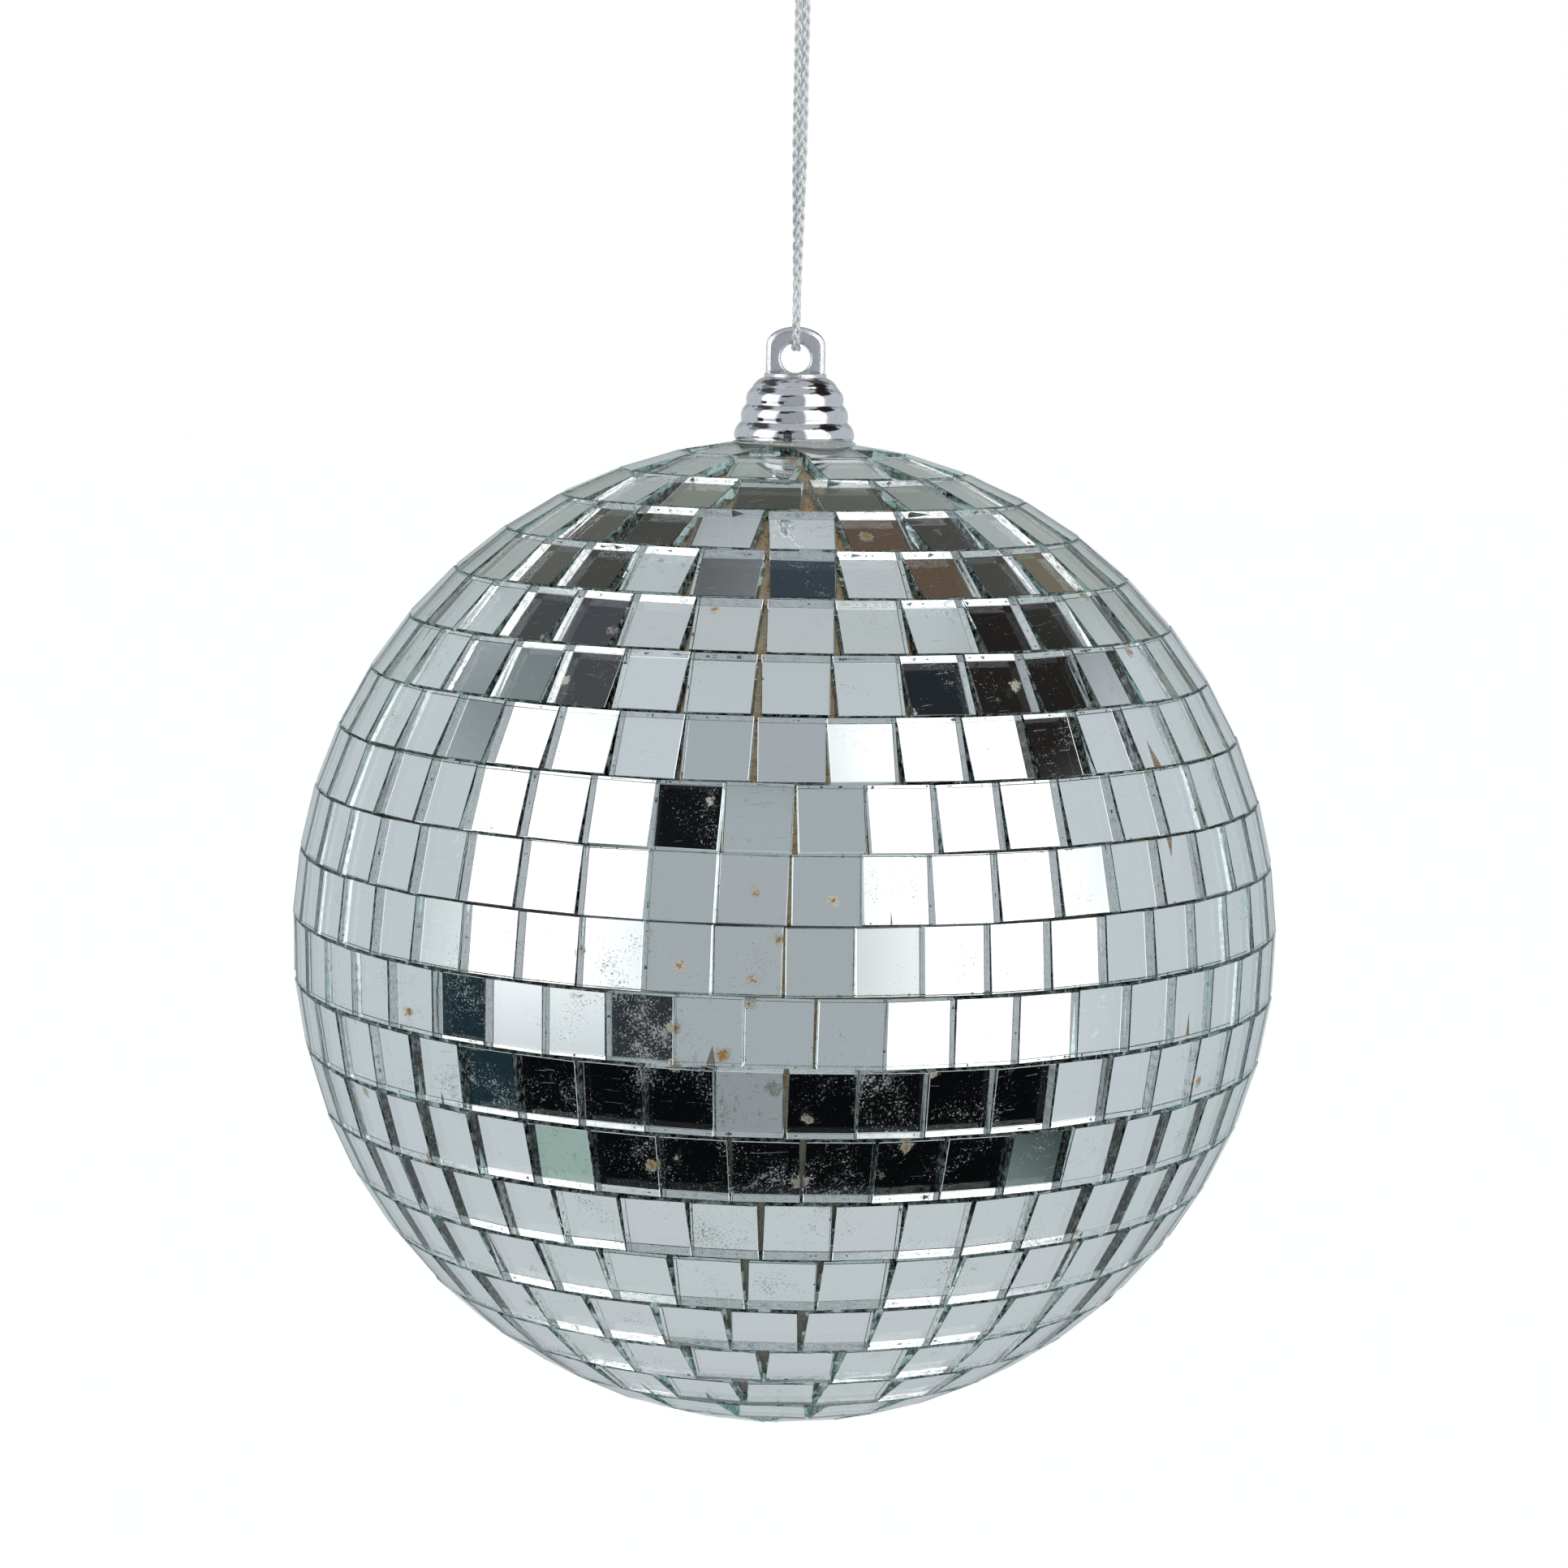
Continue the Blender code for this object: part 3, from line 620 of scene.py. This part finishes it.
def mesh_object(name, bm, materials, smooth_degrees=None):
    """An object with its materials, shaded smooth where its faces meet at less than an angle."""
    mesh = bpy.data.meshes.new(name)
    bm.to_mesh(mesh)
    bm.free()
    if smooth_degrees:
        mesh.shade_smooth()
        mesh.set_sharp_from_angle(angle=math.radians(smooth_degrees))
    for item in materials:
        mesh.materials.append(item)
    made = bpy.data.objects.new(name, mesh)
    bpy.context.scene.collection.objects.link(made)
    return made


def join_rings(bm, pairs):
    """Faces between each pair of rings, which have the same number of points. They come out as
    triangles where one ring is a single point repeated."""
    for ring, after in pairs:
        for step in range(len(ring)):
            near = (step + 1) % len(ring)
            corners = dict.fromkeys((ring[step], ring[near], after[near], after[step]))
            bm.faces.new(list(corners))


# ---- Mirror strips ----

def tile_mesh(width, height):
    """One tile standing in the XZ plane: its face looks along -Y and its middle is the origin.
    The glass face has a worn arris all round, and the silvered back is a face of its own."""
    bm = bmesh.new()
    kind = bm.faces.layers.int.new("tile_part")
    chart = bm.loops.layers.uv.new("UVMap")
    rings = []
    for shrink, depth in ((TILE_ARRIS, 0), (0, TILE_ARRIS), (0, GLASS_THICKNESS)):
        across, up = width / 2 - shrink, height / 2 - shrink
        corners = ((-across, -up), (across, -up), (across, up), (-across, up))
        rings.append([bm.verts.new((x, depth, z)) for x, z in corners])
    bm.faces.new(rings[0])[kind] = GLASS
    for outer, inner, part in ((rings[1], rings[0], GLASS), (rings[2], rings[1], EDGE)):
        for side in range(4):
            after = (side + 1) % 4
            face = bm.faces.new((outer[side], outer[after], inner[after], inner[side]))
            face[kind] = part
    bm.faces.new(rings[2][::-1])[kind] = SILVER
    for face in bm.faces:
        for corner in face.loops:
            spot = corner.vert.co
            corner[chart].uv = (spot.x / width + 0.5, spot.z / height + 0.5)
    return bm


def strip_tree(materials):
    """Geometry Nodes that lay copies of a tile round a strip, each a little out of true."""
    tree = bpy.data.node_groups.new("tiles_round_strip", "GeometryNodeTree")
    add = partial(add_node, tree)
    face = tree.interface
    for name, kind in (
        ("Tile", "NodeSocketObject"), ("Tiles", "NodeSocketInt"), ("Start", "NodeSocketFloat"),
        ("Pitch", "NodeSocketFloat"), ("Reach", "NodeSocketFloat"), ("Height", "NodeSocketFloat"),
        ("Lean", "NodeSocketFloat"), ("Widen", "NodeSocketFloat"), ("Seed", "NodeSocketInt"),
    ):
        face.new_socket(name, in_out="INPUT", socket_type=kind)
    face.new_socket("Geometry", in_out="OUTPUT", socket_type="NodeSocketGeometry")
    given = add("NodeGroupInput").node.outputs

    def scatter(low, high, salt):
        """A random vector for each tile between two corners."""
        seed = add("ShaderNodeMath", {0: given["Seed"], 1: salt}, operation="ADD")
        return add(
            "FunctionNodeRandomValue", {0: low, 1: high, "Seed": seed},
            data_type="FLOAT_VECTOR",
        )

    def both_ways(x, y, z, salt):
        """A random vector for each tile, up to these sizes either way."""
        return scatter((-x, -y, -z), (x, y, z), salt)

    index = add("GeometryNodeInputIndex")
    place = add("ShaderNodeMath", {0: index, 1: 0.5}, operation="ADD")
    angle = add(
        "ShaderNodeMath", {0: place, 1: given["Pitch"], 2: given["Start"]},
        operation="MULTIPLY_ADD",
    )
    east = add("ShaderNodeMath", {0: angle}, operation="SINE")
    north = add("ShaderNodeMath", {0: angle}, operation="COSINE")
    x = add("ShaderNodeMath", {0: east, 1: given["Reach"]}, operation="MULTIPLY")
    y = add("ShaderNodeMath", {0: north, 1: given["Reach"]}, operation="MULTIPLY")
    front = add("ShaderNodeMath", {0: y, 1: -1.0}, operation="MULTIPLY")
    where = add("ShaderNodeCombineXYZ", {0: x, 1: front, 2: given["Height"]})
    points = add("GeometryNodePoints", {"Count": given["Tiles"], "Position": where})
    back = add("ShaderNodeMath", {0: given["Lean"], 1: -1.0}, operation="MULTIPLY")
    turn = add("ShaderNodeCombineXYZ", {0: back, 2: angle})
    level = add("FunctionNodeEulerToRotation", {0: turn})
    wobble = both_ways(TILT_SCATTER, TURN_SCATTER, TILT_SCATTER, 1)
    loose = add("FunctionNodeEulerToRotation", {0: wobble})
    stance = add("FunctionNodeRotateRotation", {0: level, 1: loose}, rotation_space="LOCAL")
    out = add("FunctionNodeRotateVector", {0: (0, -1, 0), 1: stance})
    tone = add("FunctionNodeRandomValue", {"Seed": given["Seed"]}, out=1, data_type="FLOAT")
    marked = add(
        "GeometryNodeStoreNamedAttribute",
        {"Geometry": points, "Name": "tile_tone", "Value": tone}, data_type="FLOAT", domain="POINT",
    )
    marked = add(
        "GeometryNodeStoreNamedAttribute",
        {"Geometry": marked, "Name": "tile_out", "Value": out},
        data_type="FLOAT_VECTOR", domain="POINT",
    )
    tile = add(
        "GeometryNodeObjectInfo", {"Object": given["Tile"], "As Instance": True},
        out="Geometry",
    )
    cut = scatter([1 - SIZE_SCATTER] * 3, [1 + SIZE_SCATTER / 3] * 3, 2)
    widen = add("ShaderNodeCombineXYZ", {0: given["Widen"], 1: 1.0, 2: 1.0})
    size = add("ShaderNodeVectorMath", {0: cut, 1: widen}, operation="MULTIPLY")
    laid = add(
        "GeometryNodeInstanceOnPoints",
        {"Points": marked, "Instance": tile, "Rotation": stance, "Scale": size},
    )
    laid = add(
        "GeometryNodeTranslateInstances",
        {"Instances": laid, "Translation": both_ways(*[STAND_SCATTER] * 3, 3)},
    )
    solid = add("GeometryNodeRealizeInstances", {"Geometry": laid})
    # Corners move in the plane of their tile only, so that each mirror stays flat
    spot = add("GeometryNodeInputPosition")
    noise = add(
        "ShaderNodeTexNoise", {"Vector": spot, "Scale": 1 / CORNER_DRIFT, "Detail": 0.0},
        out="Color",
    )
    middled = add("ShaderNodeVectorMath", {0: noise, 1: (0.5, 0.5, 0.5)}, operation="SUBTRACT")
    facing = add("GeometryNodeInputNamedAttribute", {"Name": "tile_out"}, data_type="FLOAT_VECTOR")
    level_push = add("ShaderNodeVectorMath", {0: middled, 1: facing}, operation="CROSS_PRODUCT")
    push = add(
        "ShaderNodeVectorMath", {0: level_push, "Scale": 2 * CORNER_SCATTER},
        operation="SCALE",
    )
    shape = add("GeometryNodeSetPosition", {"Geometry": solid, "Offset": push})
    part = add("GeometryNodeInputNamedAttribute", {"Name": "tile_part"}, data_type="INT")
    for number, finish in enumerate(materials):
        chosen = add(
            "FunctionNodeCompare", {2: part, 3: number}, data_type="INT", operation="EQUAL",
        )
        shape = add(
            "GeometryNodeSetMaterial",
            {"Geometry": shape, "Selection": chosen, "Material": finish},
        )
    add("NodeGroupOutput", {0: shape})
    return tree


def plain_copy(name, source):
    """The evaluated object as an ordinary mesh object, with the source removed."""
    graph = bpy.context.evaluated_depsgraph_get()
    mesh = bpy.data.meshes.new_from_object(source.evaluated_get(graph))
    mesh.name = name
    made = bpy.data.objects.new(name, mesh)
    bpy.context.scene.collection.objects.link(made)
    bpy.data.objects.remove(source)
    return made


def strip_layout(middle):
    """How a strip's tiles stand: their number, the angles of the seam and of one tile, and how
    far the tiles' ends nearer the pole are from the axis."""
    edge_reach = face_depth * math.cos(middle) - TILE_HEIGHT / 2 * math.sin(abs(middle))
    count = int(math.pi / math.atan((TILE_WIDTH + TILE_SPACE) / 2 / edge_reach))
    seam_angle = SEAM_WIDTH / edge_reach
    return count, seam_angle, (math.tau - seam_angle) / count, edge_reach


def lay_strip(name, tree, tile, middle, seam, seed):
    """One strip's tiles, from the seam round the ball and back to it."""
    count, seam_angle, pitch, edge_reach = strip_layout(middle)
    room = 2 * edge_reach * math.tan(pitch / 2) - TILE_SPACE
    base = bpy.data.objects.new(f"{name}_base", bpy.data.meshes.new(f"{name}_base"))
    bpy.context.scene.collection.objects.link(base)
    modifier = base.modifiers.new("tiles", "NODES")
    modifier.node_group = tree
    values = {
        "Tile": tile, "Tiles": count, "Start": seam + seam_angle / 2, "Pitch": pitch,
        "Reach": face_depth * math.cos(middle),
        "Height": CENTRE.z + face_depth * math.sin(middle),
        "Lean": middle, "Widen": min(room / TILE_WIDTH, WIDEST_TILE), "Seed": seed,
    }
    for item in tree.interface.items_tree:
        if item.in_out == "INPUT":
            modifier[item.identifier] = values[item.name]
    return plain_copy(name, base)


def strip_cloth(name, middle, finish):
    """The tape behind a strip's tiles, a little narrower than they are."""
    bm = bmesh.new()
    half = TILE_HEIGHT / 2 - CLOTH_INSET
    depth = floor_depth - CLOTH_GAP
    sign = 1 if middle > 0 else -1
    steps = 2 * strip_layout(middle)[0]

    def point(poleward, deep):
        """Radius and height of a point of the tape's section."""
        reach = deep * math.cos(middle) - poleward * math.sin(abs(middle))
        height = (deep * math.sin(abs(middle)) + poleward * math.cos(middle)) * sign
        return reach, height

    outline = [
        point(-half, depth), point(half, depth),
        point(half, depth - CLOTH_THICKNESS), point(-half, depth - CLOTH_THICKNESS),
    ]
    rings = [
        [
            bm.verts.new(CENTRE + Vector((reach * math.sin(turn), -reach * math.cos(turn), height)))
            for reach, height in outline
        ]
        for turn in (math.tau * step / steps for step in range(steps))
    ]
    join_rings(bm, zip(rings, rings[1:] + rings[:1]))
    bmesh.ops.recalc_face_normals(bm, faces=bm.faces)
    return mesh_object(name, bm, [finish])


def build_strips(finishes):
    """Twenty-two strips, eleven on each side of the first line."""
    tape = make_tape()
    tree = strip_tree(finishes)
    tile = mesh_object("tile", tile_mesh(TILE_WIDTH, TILE_REACH), finishes)
    rows = [
        (f"{half}_{row + 1:02d}", FIRST_LINE + (row + 0.5) * pitch, math.radians(seam))
        for half, pitch, seams in (
            ("upper", UPPER_PITCH, UPPER_SEAMS), ("lower", -LOWER_PITCH, LOWER_SEAMS),
        )
        for row, seam in enumerate(seams)
    ]
    for seed, (row, middle, seam) in enumerate(rows):
        tiles = lay_strip(f"mirror_tiles_{row}", tree, tile, middle, seam, SEED_STEP * seed)
        cloth = strip_cloth(f"strip_tape_{row}", middle, tape)
        for piece in (tiles, cloth):
            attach(piece, "ball")
        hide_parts(f"mirror_strip_{row}")
    bpy.data.objects.remove(tile)


# ---- Thread ----

def smooth_route(points, steps):
    """A smooth curve through a route's points, with a few points for each stretch."""
    ends = [points[0] * 2 - points[1], *points, points[-1] * 2 - points[-2]]
    path = []
    for index in range(len(points) - 1):
        before, start, end, after = ends[index:index + 4]
        for step in range(steps):
            t = step / steps
            path.append(0.5 * (
                2 * start + (end - before) * t
                + (2 * before - 5 * start + 4 * end - after) * t ** 2
                + (3 * start - before - 3 * end + after) * t ** 3
            ))
    path.append(points[-1])
    return path


def route_length(path):
    return sum((end - start).length for start, end in zip(path, path[1:]))


def evenly(path, spacing, closed=False):
    """Points along a path, the same distance apart as nearly as its length allows."""
    if closed:
        path = path + path[:1]
    total = route_length(path)
    last = total * 0.999999        # just short of the end, so that it is still on a stretch
    count = max(2, round(total / spacing))
    made = []
    stretch, done = 0, 0.0
    for step in range(count if closed else count + 1):
        target = min(total * step / count, last)
        while done + (path[stretch + 1] - path[stretch]).length < target:
            done += (path[stretch + 1] - path[stretch]).length
            stretch += 1
        share = (target - done) / (path[stretch + 1] - path[stretch]).length
        made.append(path[stretch].lerp(path[stretch + 1], share))
    return made


def carried_frames(path, first_side, closed=False):
    """A side and a front direction at each point of a path, turning as little as they can."""
    frames = []
    side = Vector(first_side)
    for index, point in enumerate(path):
        before = path[index - 1] if index or closed else point
        after = path[(index + 1) % len(path)] if closed or index + 1 < len(path) else point
        along = (after - before).normalized()
        side = (side - along * side.dot(along)).normalized()
        frames.append((side, along.cross(side)))
    return frames


def crocheted(name, path, finish, first_side=(1, 0, 0), closed=False, bend=None):
    """Three yarns plaited along a path, each one a closed tube. They bunch up round a bend."""
    path = evenly(path, STITCH / STITCH_POINTS, closed)
    frames = carried_frames(path, first_side, closed)
    spacing = route_length(path) / (len(path) - 1)
    cycle = STITCH * YARNS
    if closed:
        cycle = spacing * len(path) / max(1, round(spacing * len(path) / cycle))
    bm = bmesh.new()
    for yarn in range(YARNS):
        line = []
        for index, (point, (side, front)) in enumerate(zip(path, frames)):
            turn = math.tau * (index * spacing / cycle + yarn / YARNS)
            crowd = max(0, 1 - (point - bend).length / BUNCH_REACH) if bend else 0
            swing = YARN_SWING * (1 + BUNCH_SPREAD * crowd)
            lift = YARN_LIFT * math.sin(2 * turn)
            line.append(point + side * swing * math.sin(turn) + front * lift)
        rings = []
        for centre, (side, front) in zip(line, carried_frames(line, first_side, closed)):
            rings.append([
                bm.verts.new(centre + YARN_RADIUS * (side * math.cos(a) + front * math.sin(a)))
                for a in (math.tau * corner / YARN_SIDES for corner in range(YARN_SIDES))
            ])
        join_rings(bm, zip(rings, rings[1:] + rings[:1] if closed else rings[1:]))
        if not closed:
            bm.faces.new(rings[0][::-1])
            bm.faces.new(rings[-1])
    bmesh.ops.recalc_face_normals(bm, faces=bm.faces)
    return mesh_object(name, bm, [finish], smooth_degrees=80)


def build_thread():
    """The thread through the eyelet, its loop above and the knot that joins them."""
    lurex = make_lurex()
    front = [(x, y, height) for x, y, height in reversed(STRAND_ROUTE)]
    down = [(0, y, height) for y, height in reversed(BIGHT_ROUTE)]
    up = [(0, -y, height) for y, height in BIGHT_ROUTE[1:]]
    back = [(-x, -y, height) for x, y, height in STRAND_ROUTE]
    route = [CENTRE + Vector(point) * MM for point in front + down + up + back]
    path = smooth_route(route, ROUTE_STEPS)
    cord = crocheted("lurex_cord", path, lurex, bend=CENTRE + Vector((0, *BIGHT_ROUTE[0])) * MM)
    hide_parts("thread_strand_front", "thread_strand_back", "thread_bight")
    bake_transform(cord)

    rising = [CENTRE + Vector((-x, 0, height)) * MM for x, height in reversed(LOOP_ROUTE)]
    falling = [CENTRE + Vector((x, 0, height)) * MM for x, height in LOOP_ROUTE[1:]]
    loop_path = smooth_route(rising + falling, ROUTE_STEPS)
    loop = crocheted("loop_cord", loop_path, lurex, first_side=(0, 1, 0))
    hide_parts("hanging_loop")
    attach(loop, "hanger")

    core = (KNOT_RADIUS - THREAD_DIAMETER / 2) / 3
    rise = KNOT_HALF_HEIGHT - THREAD_DIAMETER / 2
    middle = CENTRE + Vector((0, 0, KNOT_HEIGHT))
    knot_path = [
        middle + Vector((
            core * (2 + math.cos(3 * turn)) * math.cos(2 * turn),
            core * (2 + math.cos(3 * turn)) * math.sin(2 * turn),
            rise * math.sin(3 * turn),
        ))
        for turn in (math.tau * step / KNOT_STEPS for step in range(KNOT_STEPS))
    ]
    knot = crocheted("overhand_knot", knot_path, lurex, closed=True)
    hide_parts("loop_knot")
    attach(knot, "knot")


# ---- Cap, eyelet, glue and foam ----

def turned(name, profile, finish, steps=96, smooth_degrees=40):
    """A turned piece: an outline of (radius, height above the ball's centre), either closed or
    running from axis to axis, taken round the ball's axis."""
    bm = bmesh.new()
    on_axis = profile[0][0] == 0 and profile[-1][0] == 0
    rings = []
    for radius, height in profile:
        if radius == 0:
            rings.append([bm.verts.new(CENTRE + Vector((0, 0, height)))] * steps)
            continue
        rings.append([
            bm.verts.new(CENTRE + Vector((radius * math.cos(a), radius * math.sin(a), height)))
            for a in (math.tau * step / steps for step in range(steps))
        ])
    join_rings(bm, zip(rings, rings[1:] if on_axis else rings[1:] + rings[:1]))
    bmesh.ops.recalc_face_normals(bm, faces=bm.faces)
    return mesh_object(name, bm, [finish], smooth_degrees)


def eased(points, rounds):
    """The same outline with its corners cut, and cut again, until they are soft."""
    for _ in range(rounds):
        soft = [points[0]]
        for (r1, h1), (r2, h2) in zip(points, points[1:]):
            for share in (0.25, 0.75):
                soft.append((r1 * (1 - share) + r2 * share, h1 * (1 - share) + h2 * share))
        soft.append(points[-1])
        points = soft
    return points


def boolean(item, other, operation):
    modifier = item.modifiers.new(operation.lower(), "BOOLEAN")
    modifier.operation = operation
    modifier.solver = "EXACT"
    modifier.object = other


def build_cap(chrome):
    """The ribbed cap, hollow, with a small round-topped notch in its rim."""
    outer = eased(CAP_OUTLINE, 2)
    outline = [(radius * MM, height * MM) for radius, height in outer + list(CAP_BORE)]
    shell = turned("cap_shell_blank", outline, chrome)
    bm = bmesh.new()
    bmesh.ops.create_cone(
        bm, cap_ends=True, segments=NOTCH_SIDES, radius1=NOTCH_WIDTH / 2, radius2=NOTCH_WIDTH / 2,
        depth=2 * CAP_WALL, matrix=Matrix.Rotation(math.pi / 2, 4, "X"),
    )
    # The lower half of the round hole is drawn down, so that it opens at the rim
    low = [vert for vert in bm.verts if vert.co.z < -NOTCH_WIDTH / 8]
    bmesh.ops.translate(bm, verts=low, vec=(0, 0, -NOTCH_HEIGHT))
    height = CAP_RIM_HEIGHT + NOTCH_HEIGHT - NOTCH_WIDTH / 2
    reach = CAP_OUTLINE[2][0] * MM - CAP_WALL / 2
    bmesh.ops.translate(bm, verts=bm.verts, vec=CENTRE + Vector((NOTCH_SHIFT, -reach, height)))
    cutter = mesh_object("notch_cutter", bm, [chrome])
    boolean(shell, cutter, "DIFFERENCE")
    cap = plain_copy("cap_shell", shell)
    bpy.data.objects.remove(cutter)
    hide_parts("cap_dome")
    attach(cap, "ball")


def tab_reach(angle):
    """How far the tab's edge is from the middle of its eye, in the direction of an angle."""
    across, up = math.cos(angle), math.sin(angle)
    straight = TAB_HALF_WIDTH / max(abs(across), 1e-9)
    if up < 0:
        return min(straight, (EYE_HEIGHT - TAB_ROOT) / -up)
    crown_base = TAB_TOP - TAB_CROWN
    if EYE_HEIGHT + straight * up <= crown_base:
        return straight
    # Where the ray meets the half ellipse that crowns the tab
    below = EYE_HEIGHT - crown_base
    a = (across / TAB_HALF_WIDTH) ** 2 + (up / TAB_CROWN) ** 2
    b = 2 * below * up / TAB_CROWN ** 2
    c = (below / TAB_CROWN) ** 2 - 1
    return (-b + math.sqrt(b * b - 4 * a * c)) / (2 * a)


def tab_blade(chrome):
    """The flat eyelet with soft outer edges and a flared eye."""
    half = TAB_THICKNESS / 2
    widest = TAB_BEVEL[0][0] * MM
    turns = [math.pi / 2 * step / EYE_FLARE_STEPS for step in range(EYE_FLARE_STEPS + 1)]
    # From the eye's wall, over the front face, down the bevel and round to the back face
    section = [
        ("eye", EYE_FLARE * (1 - math.cos(t)), -half + EYE_FLARE * (1 - math.sin(t))) for t in turns
    ]
    section += [("edge", inset * MM, -half + drop * MM) for inset, drop in TAB_BEVEL]
    section += [(kind, inset, -depth) for kind, inset, depth in reversed(section)]
    bm = bmesh.new()
    rings = []
    for kind, inset, depth in section:
        ring = []
        for step in range(TAB_STEPS):
            angle = math.tau * (step + 0.5) / TAB_STEPS
            room = tab_reach(angle) - EYE_RADIUS
            taken = inset * min(1, room / (2 * (widest + EYE_FLARE)))
            reach = EYE_RADIUS + taken if kind == "eye" else tab_reach(angle) - taken
            ring.append(bm.verts.new(CENTRE + Vector((
                reach * math.cos(angle), depth, EYE_HEIGHT + reach * math.sin(angle),
            ))))
        rings.append(ring)
    join_rings(bm, zip(rings, rings[1:] + rings[:1]))
    bmesh.ops.recalc_face_normals(bm, faces=bm.faces)
    return mesh_object("tab_blade", bm, [chrome], smooth_degrees=40)


def build_eyelet(chrome):
    """The tab with its eye, on a collar and a barbed peg."""
    outline = [
        (0, COLLAR_TOP), (COLLAR_RADIUS - COLLAR_ROUND, COLLAR_TOP),
        (COLLAR_RADIUS - COLLAR_ARRIS, COLLAR_TOP - COLLAR_DROP),
        (COLLAR_RADIUS, COLLAR_TOP - COLLAR_ROUND), (COLLAR_RADIUS, COLLAR_BOTTOM + COLLAR_ARRIS),
        (COLLAR_RADIUS - COLLAR_ARRIS, COLLAR_BOTTOM), (PEG_RADIUS, COLLAR_BOTTOM),
    ]
    first_barb = PEG_TIP_HEIGHT + BARB_PITCH * (PEG_BARBS - 0.5)
    for barb in range(PEG_BARBS):
        height = first_barb - barb * BARB_PITCH
        shoulder = height + BARB_LENGTH
        outline += [
            (PEG_RADIUS, shoulder), (BARB_RADIUS, shoulder - BARB_SHOULDER), (PEG_RADIUS, height),
        ]
    outline += [(PEG_RADIUS * 0.5, PEG_TIP_HEIGHT + PEG_POINT), (0, PEG_TIP_HEIGHT)]
    peg = turned("peg_blank", outline, chrome, steps=64)
    blade = tab_blade(chrome)
    boolean(peg, blade, "UNION")
    eyelet = plain_copy("eyelet", peg)
    bpy.data.objects.remove(blade)
    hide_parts("eyelet_peg")
    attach(eyelet, "ball")


def build_glue():
    """Glue under the cap, with the part that squeezed out below its rim."""
    finish = make_glue()
    middle = (GLUE_INNER + GLUE_OUTER) / 2
    inside = eased([
        (GLUE_INNER, GLUE_BOTTOM), (GLUE_OUTER, GLUE_BOTTOM),
        (GLUE_OUTER, GLUE_BOTTOM + GLUE_SKIRT), (middle, GLUE_TOP),
        (GLUE_INNER, GLUE_TOP - GLUE_SAG), (GLUE_INNER, GLUE_BOTTOM + GLUE_LIP),
    ], 2)
    glue = turned("cap_glue_bead", inside, finish, steps=64)
    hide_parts("cap_glue")
    bm = bmesh.new()
    rings = []
    for step in range(OOZE_STEPS):
        turn = math.tau * step / OOZE_STEPS
        # One big lump at the front right, small ones elsewhere
        lump = 0.5 + 0.5 * math.sin(3 * turn + 0.7) * math.cos(7 * turn)
        bulge = max(0, math.cos(turn - OOZE_LUMP_AT)) ** 8
        size = 0.30 + 0.35 * lump + 1.5 * bulge
        ring = []
        for corner in range(OOZE_SIDES):
            a = math.tau * corner / OOZE_SIDES
            radius = OOZE_REACH + OOZE_PUSH * bulge + OOZE_SPREAD * size * math.cos(a)
            rise = OOZE_RISE * math.sin(a) - OOZE_DROOP * max(0, math.cos(a))
            ring.append(bm.verts.new(CENTRE + Vector((
                radius * math.cos(turn), radius * math.sin(turn), OOZE_HEIGHT + size * rise,
            ))))
        rings.append(ring)
    join_rings(bm, zip(rings, rings[1:] + rings[:1]))
    bmesh.ops.recalc_face_normals(bm, faces=bm.faces)
    ooze = mesh_object("glue_squeezed_out", bm, [finish], smooth_degrees=60)
    for piece in (glue, ooze):
        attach(piece, "ball")


def build_core():
    """The foam ball with the blind hole that the peg is pushed into."""
    radius = floor_depth - CLOTH_THICKNESS - CORE_CLEARANCE
    mouth = math.asin(BORE_RADIUS / radius)
    arc = [mouth + (math.pi - mouth) * step / CORE_STEPS for step in range(CORE_STEPS)]
    outline = [(0, BORE_BOTTOM), (BORE_RADIUS, BORE_BOTTOM)]
    outline += [(radius * math.sin(a), radius * math.cos(a)) for a in arc]
    outline.append((0, -radius))
    core = turned("foam_ball", outline, make_foam(), steps=2 * CORE_STEPS)
    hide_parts("foam_core")
    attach(core, "ball")


def build_bottom_tile(finishes):
    """The one tile that closes the ball at its lower pole."""
    bm = tile_mesh(TILE_WIDTH, TILE_WIDTH)
    kind = bm.faces.layers.int["tile_part"]
    for face in bm.faces:
        face.material_index = face[kind]
    bmesh.ops.rotate(bm, verts=bm.verts, matrix=Matrix.Rotation(math.pi / 2, 3, "X"))
    bmesh.ops.translate(bm, verts=bm.verts, vec=CENTRE - Vector((0, 0, face_depth)))
    tile = mesh_object("bottom_mirror", bm, finishes)
    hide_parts("bottom_tile")
    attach(tile, "ball")


bpy.context.scene.view_settings.view_transform = "Standard"
build_world()
build_camera()
build_floor()
build_thread()
mirror = [make_silvering(), make_float_glass(), make_broken_edge()]
build_strips(mirror)
build_bottom_tile(mirror)
build_core()
build_glue()
build_cap(make_chrome("chromed_abs", pitting=0.12, blur=0.09))
build_eyelet(make_chrome("pitted_chromed_abs", pitting=0.9, blur=0.13))
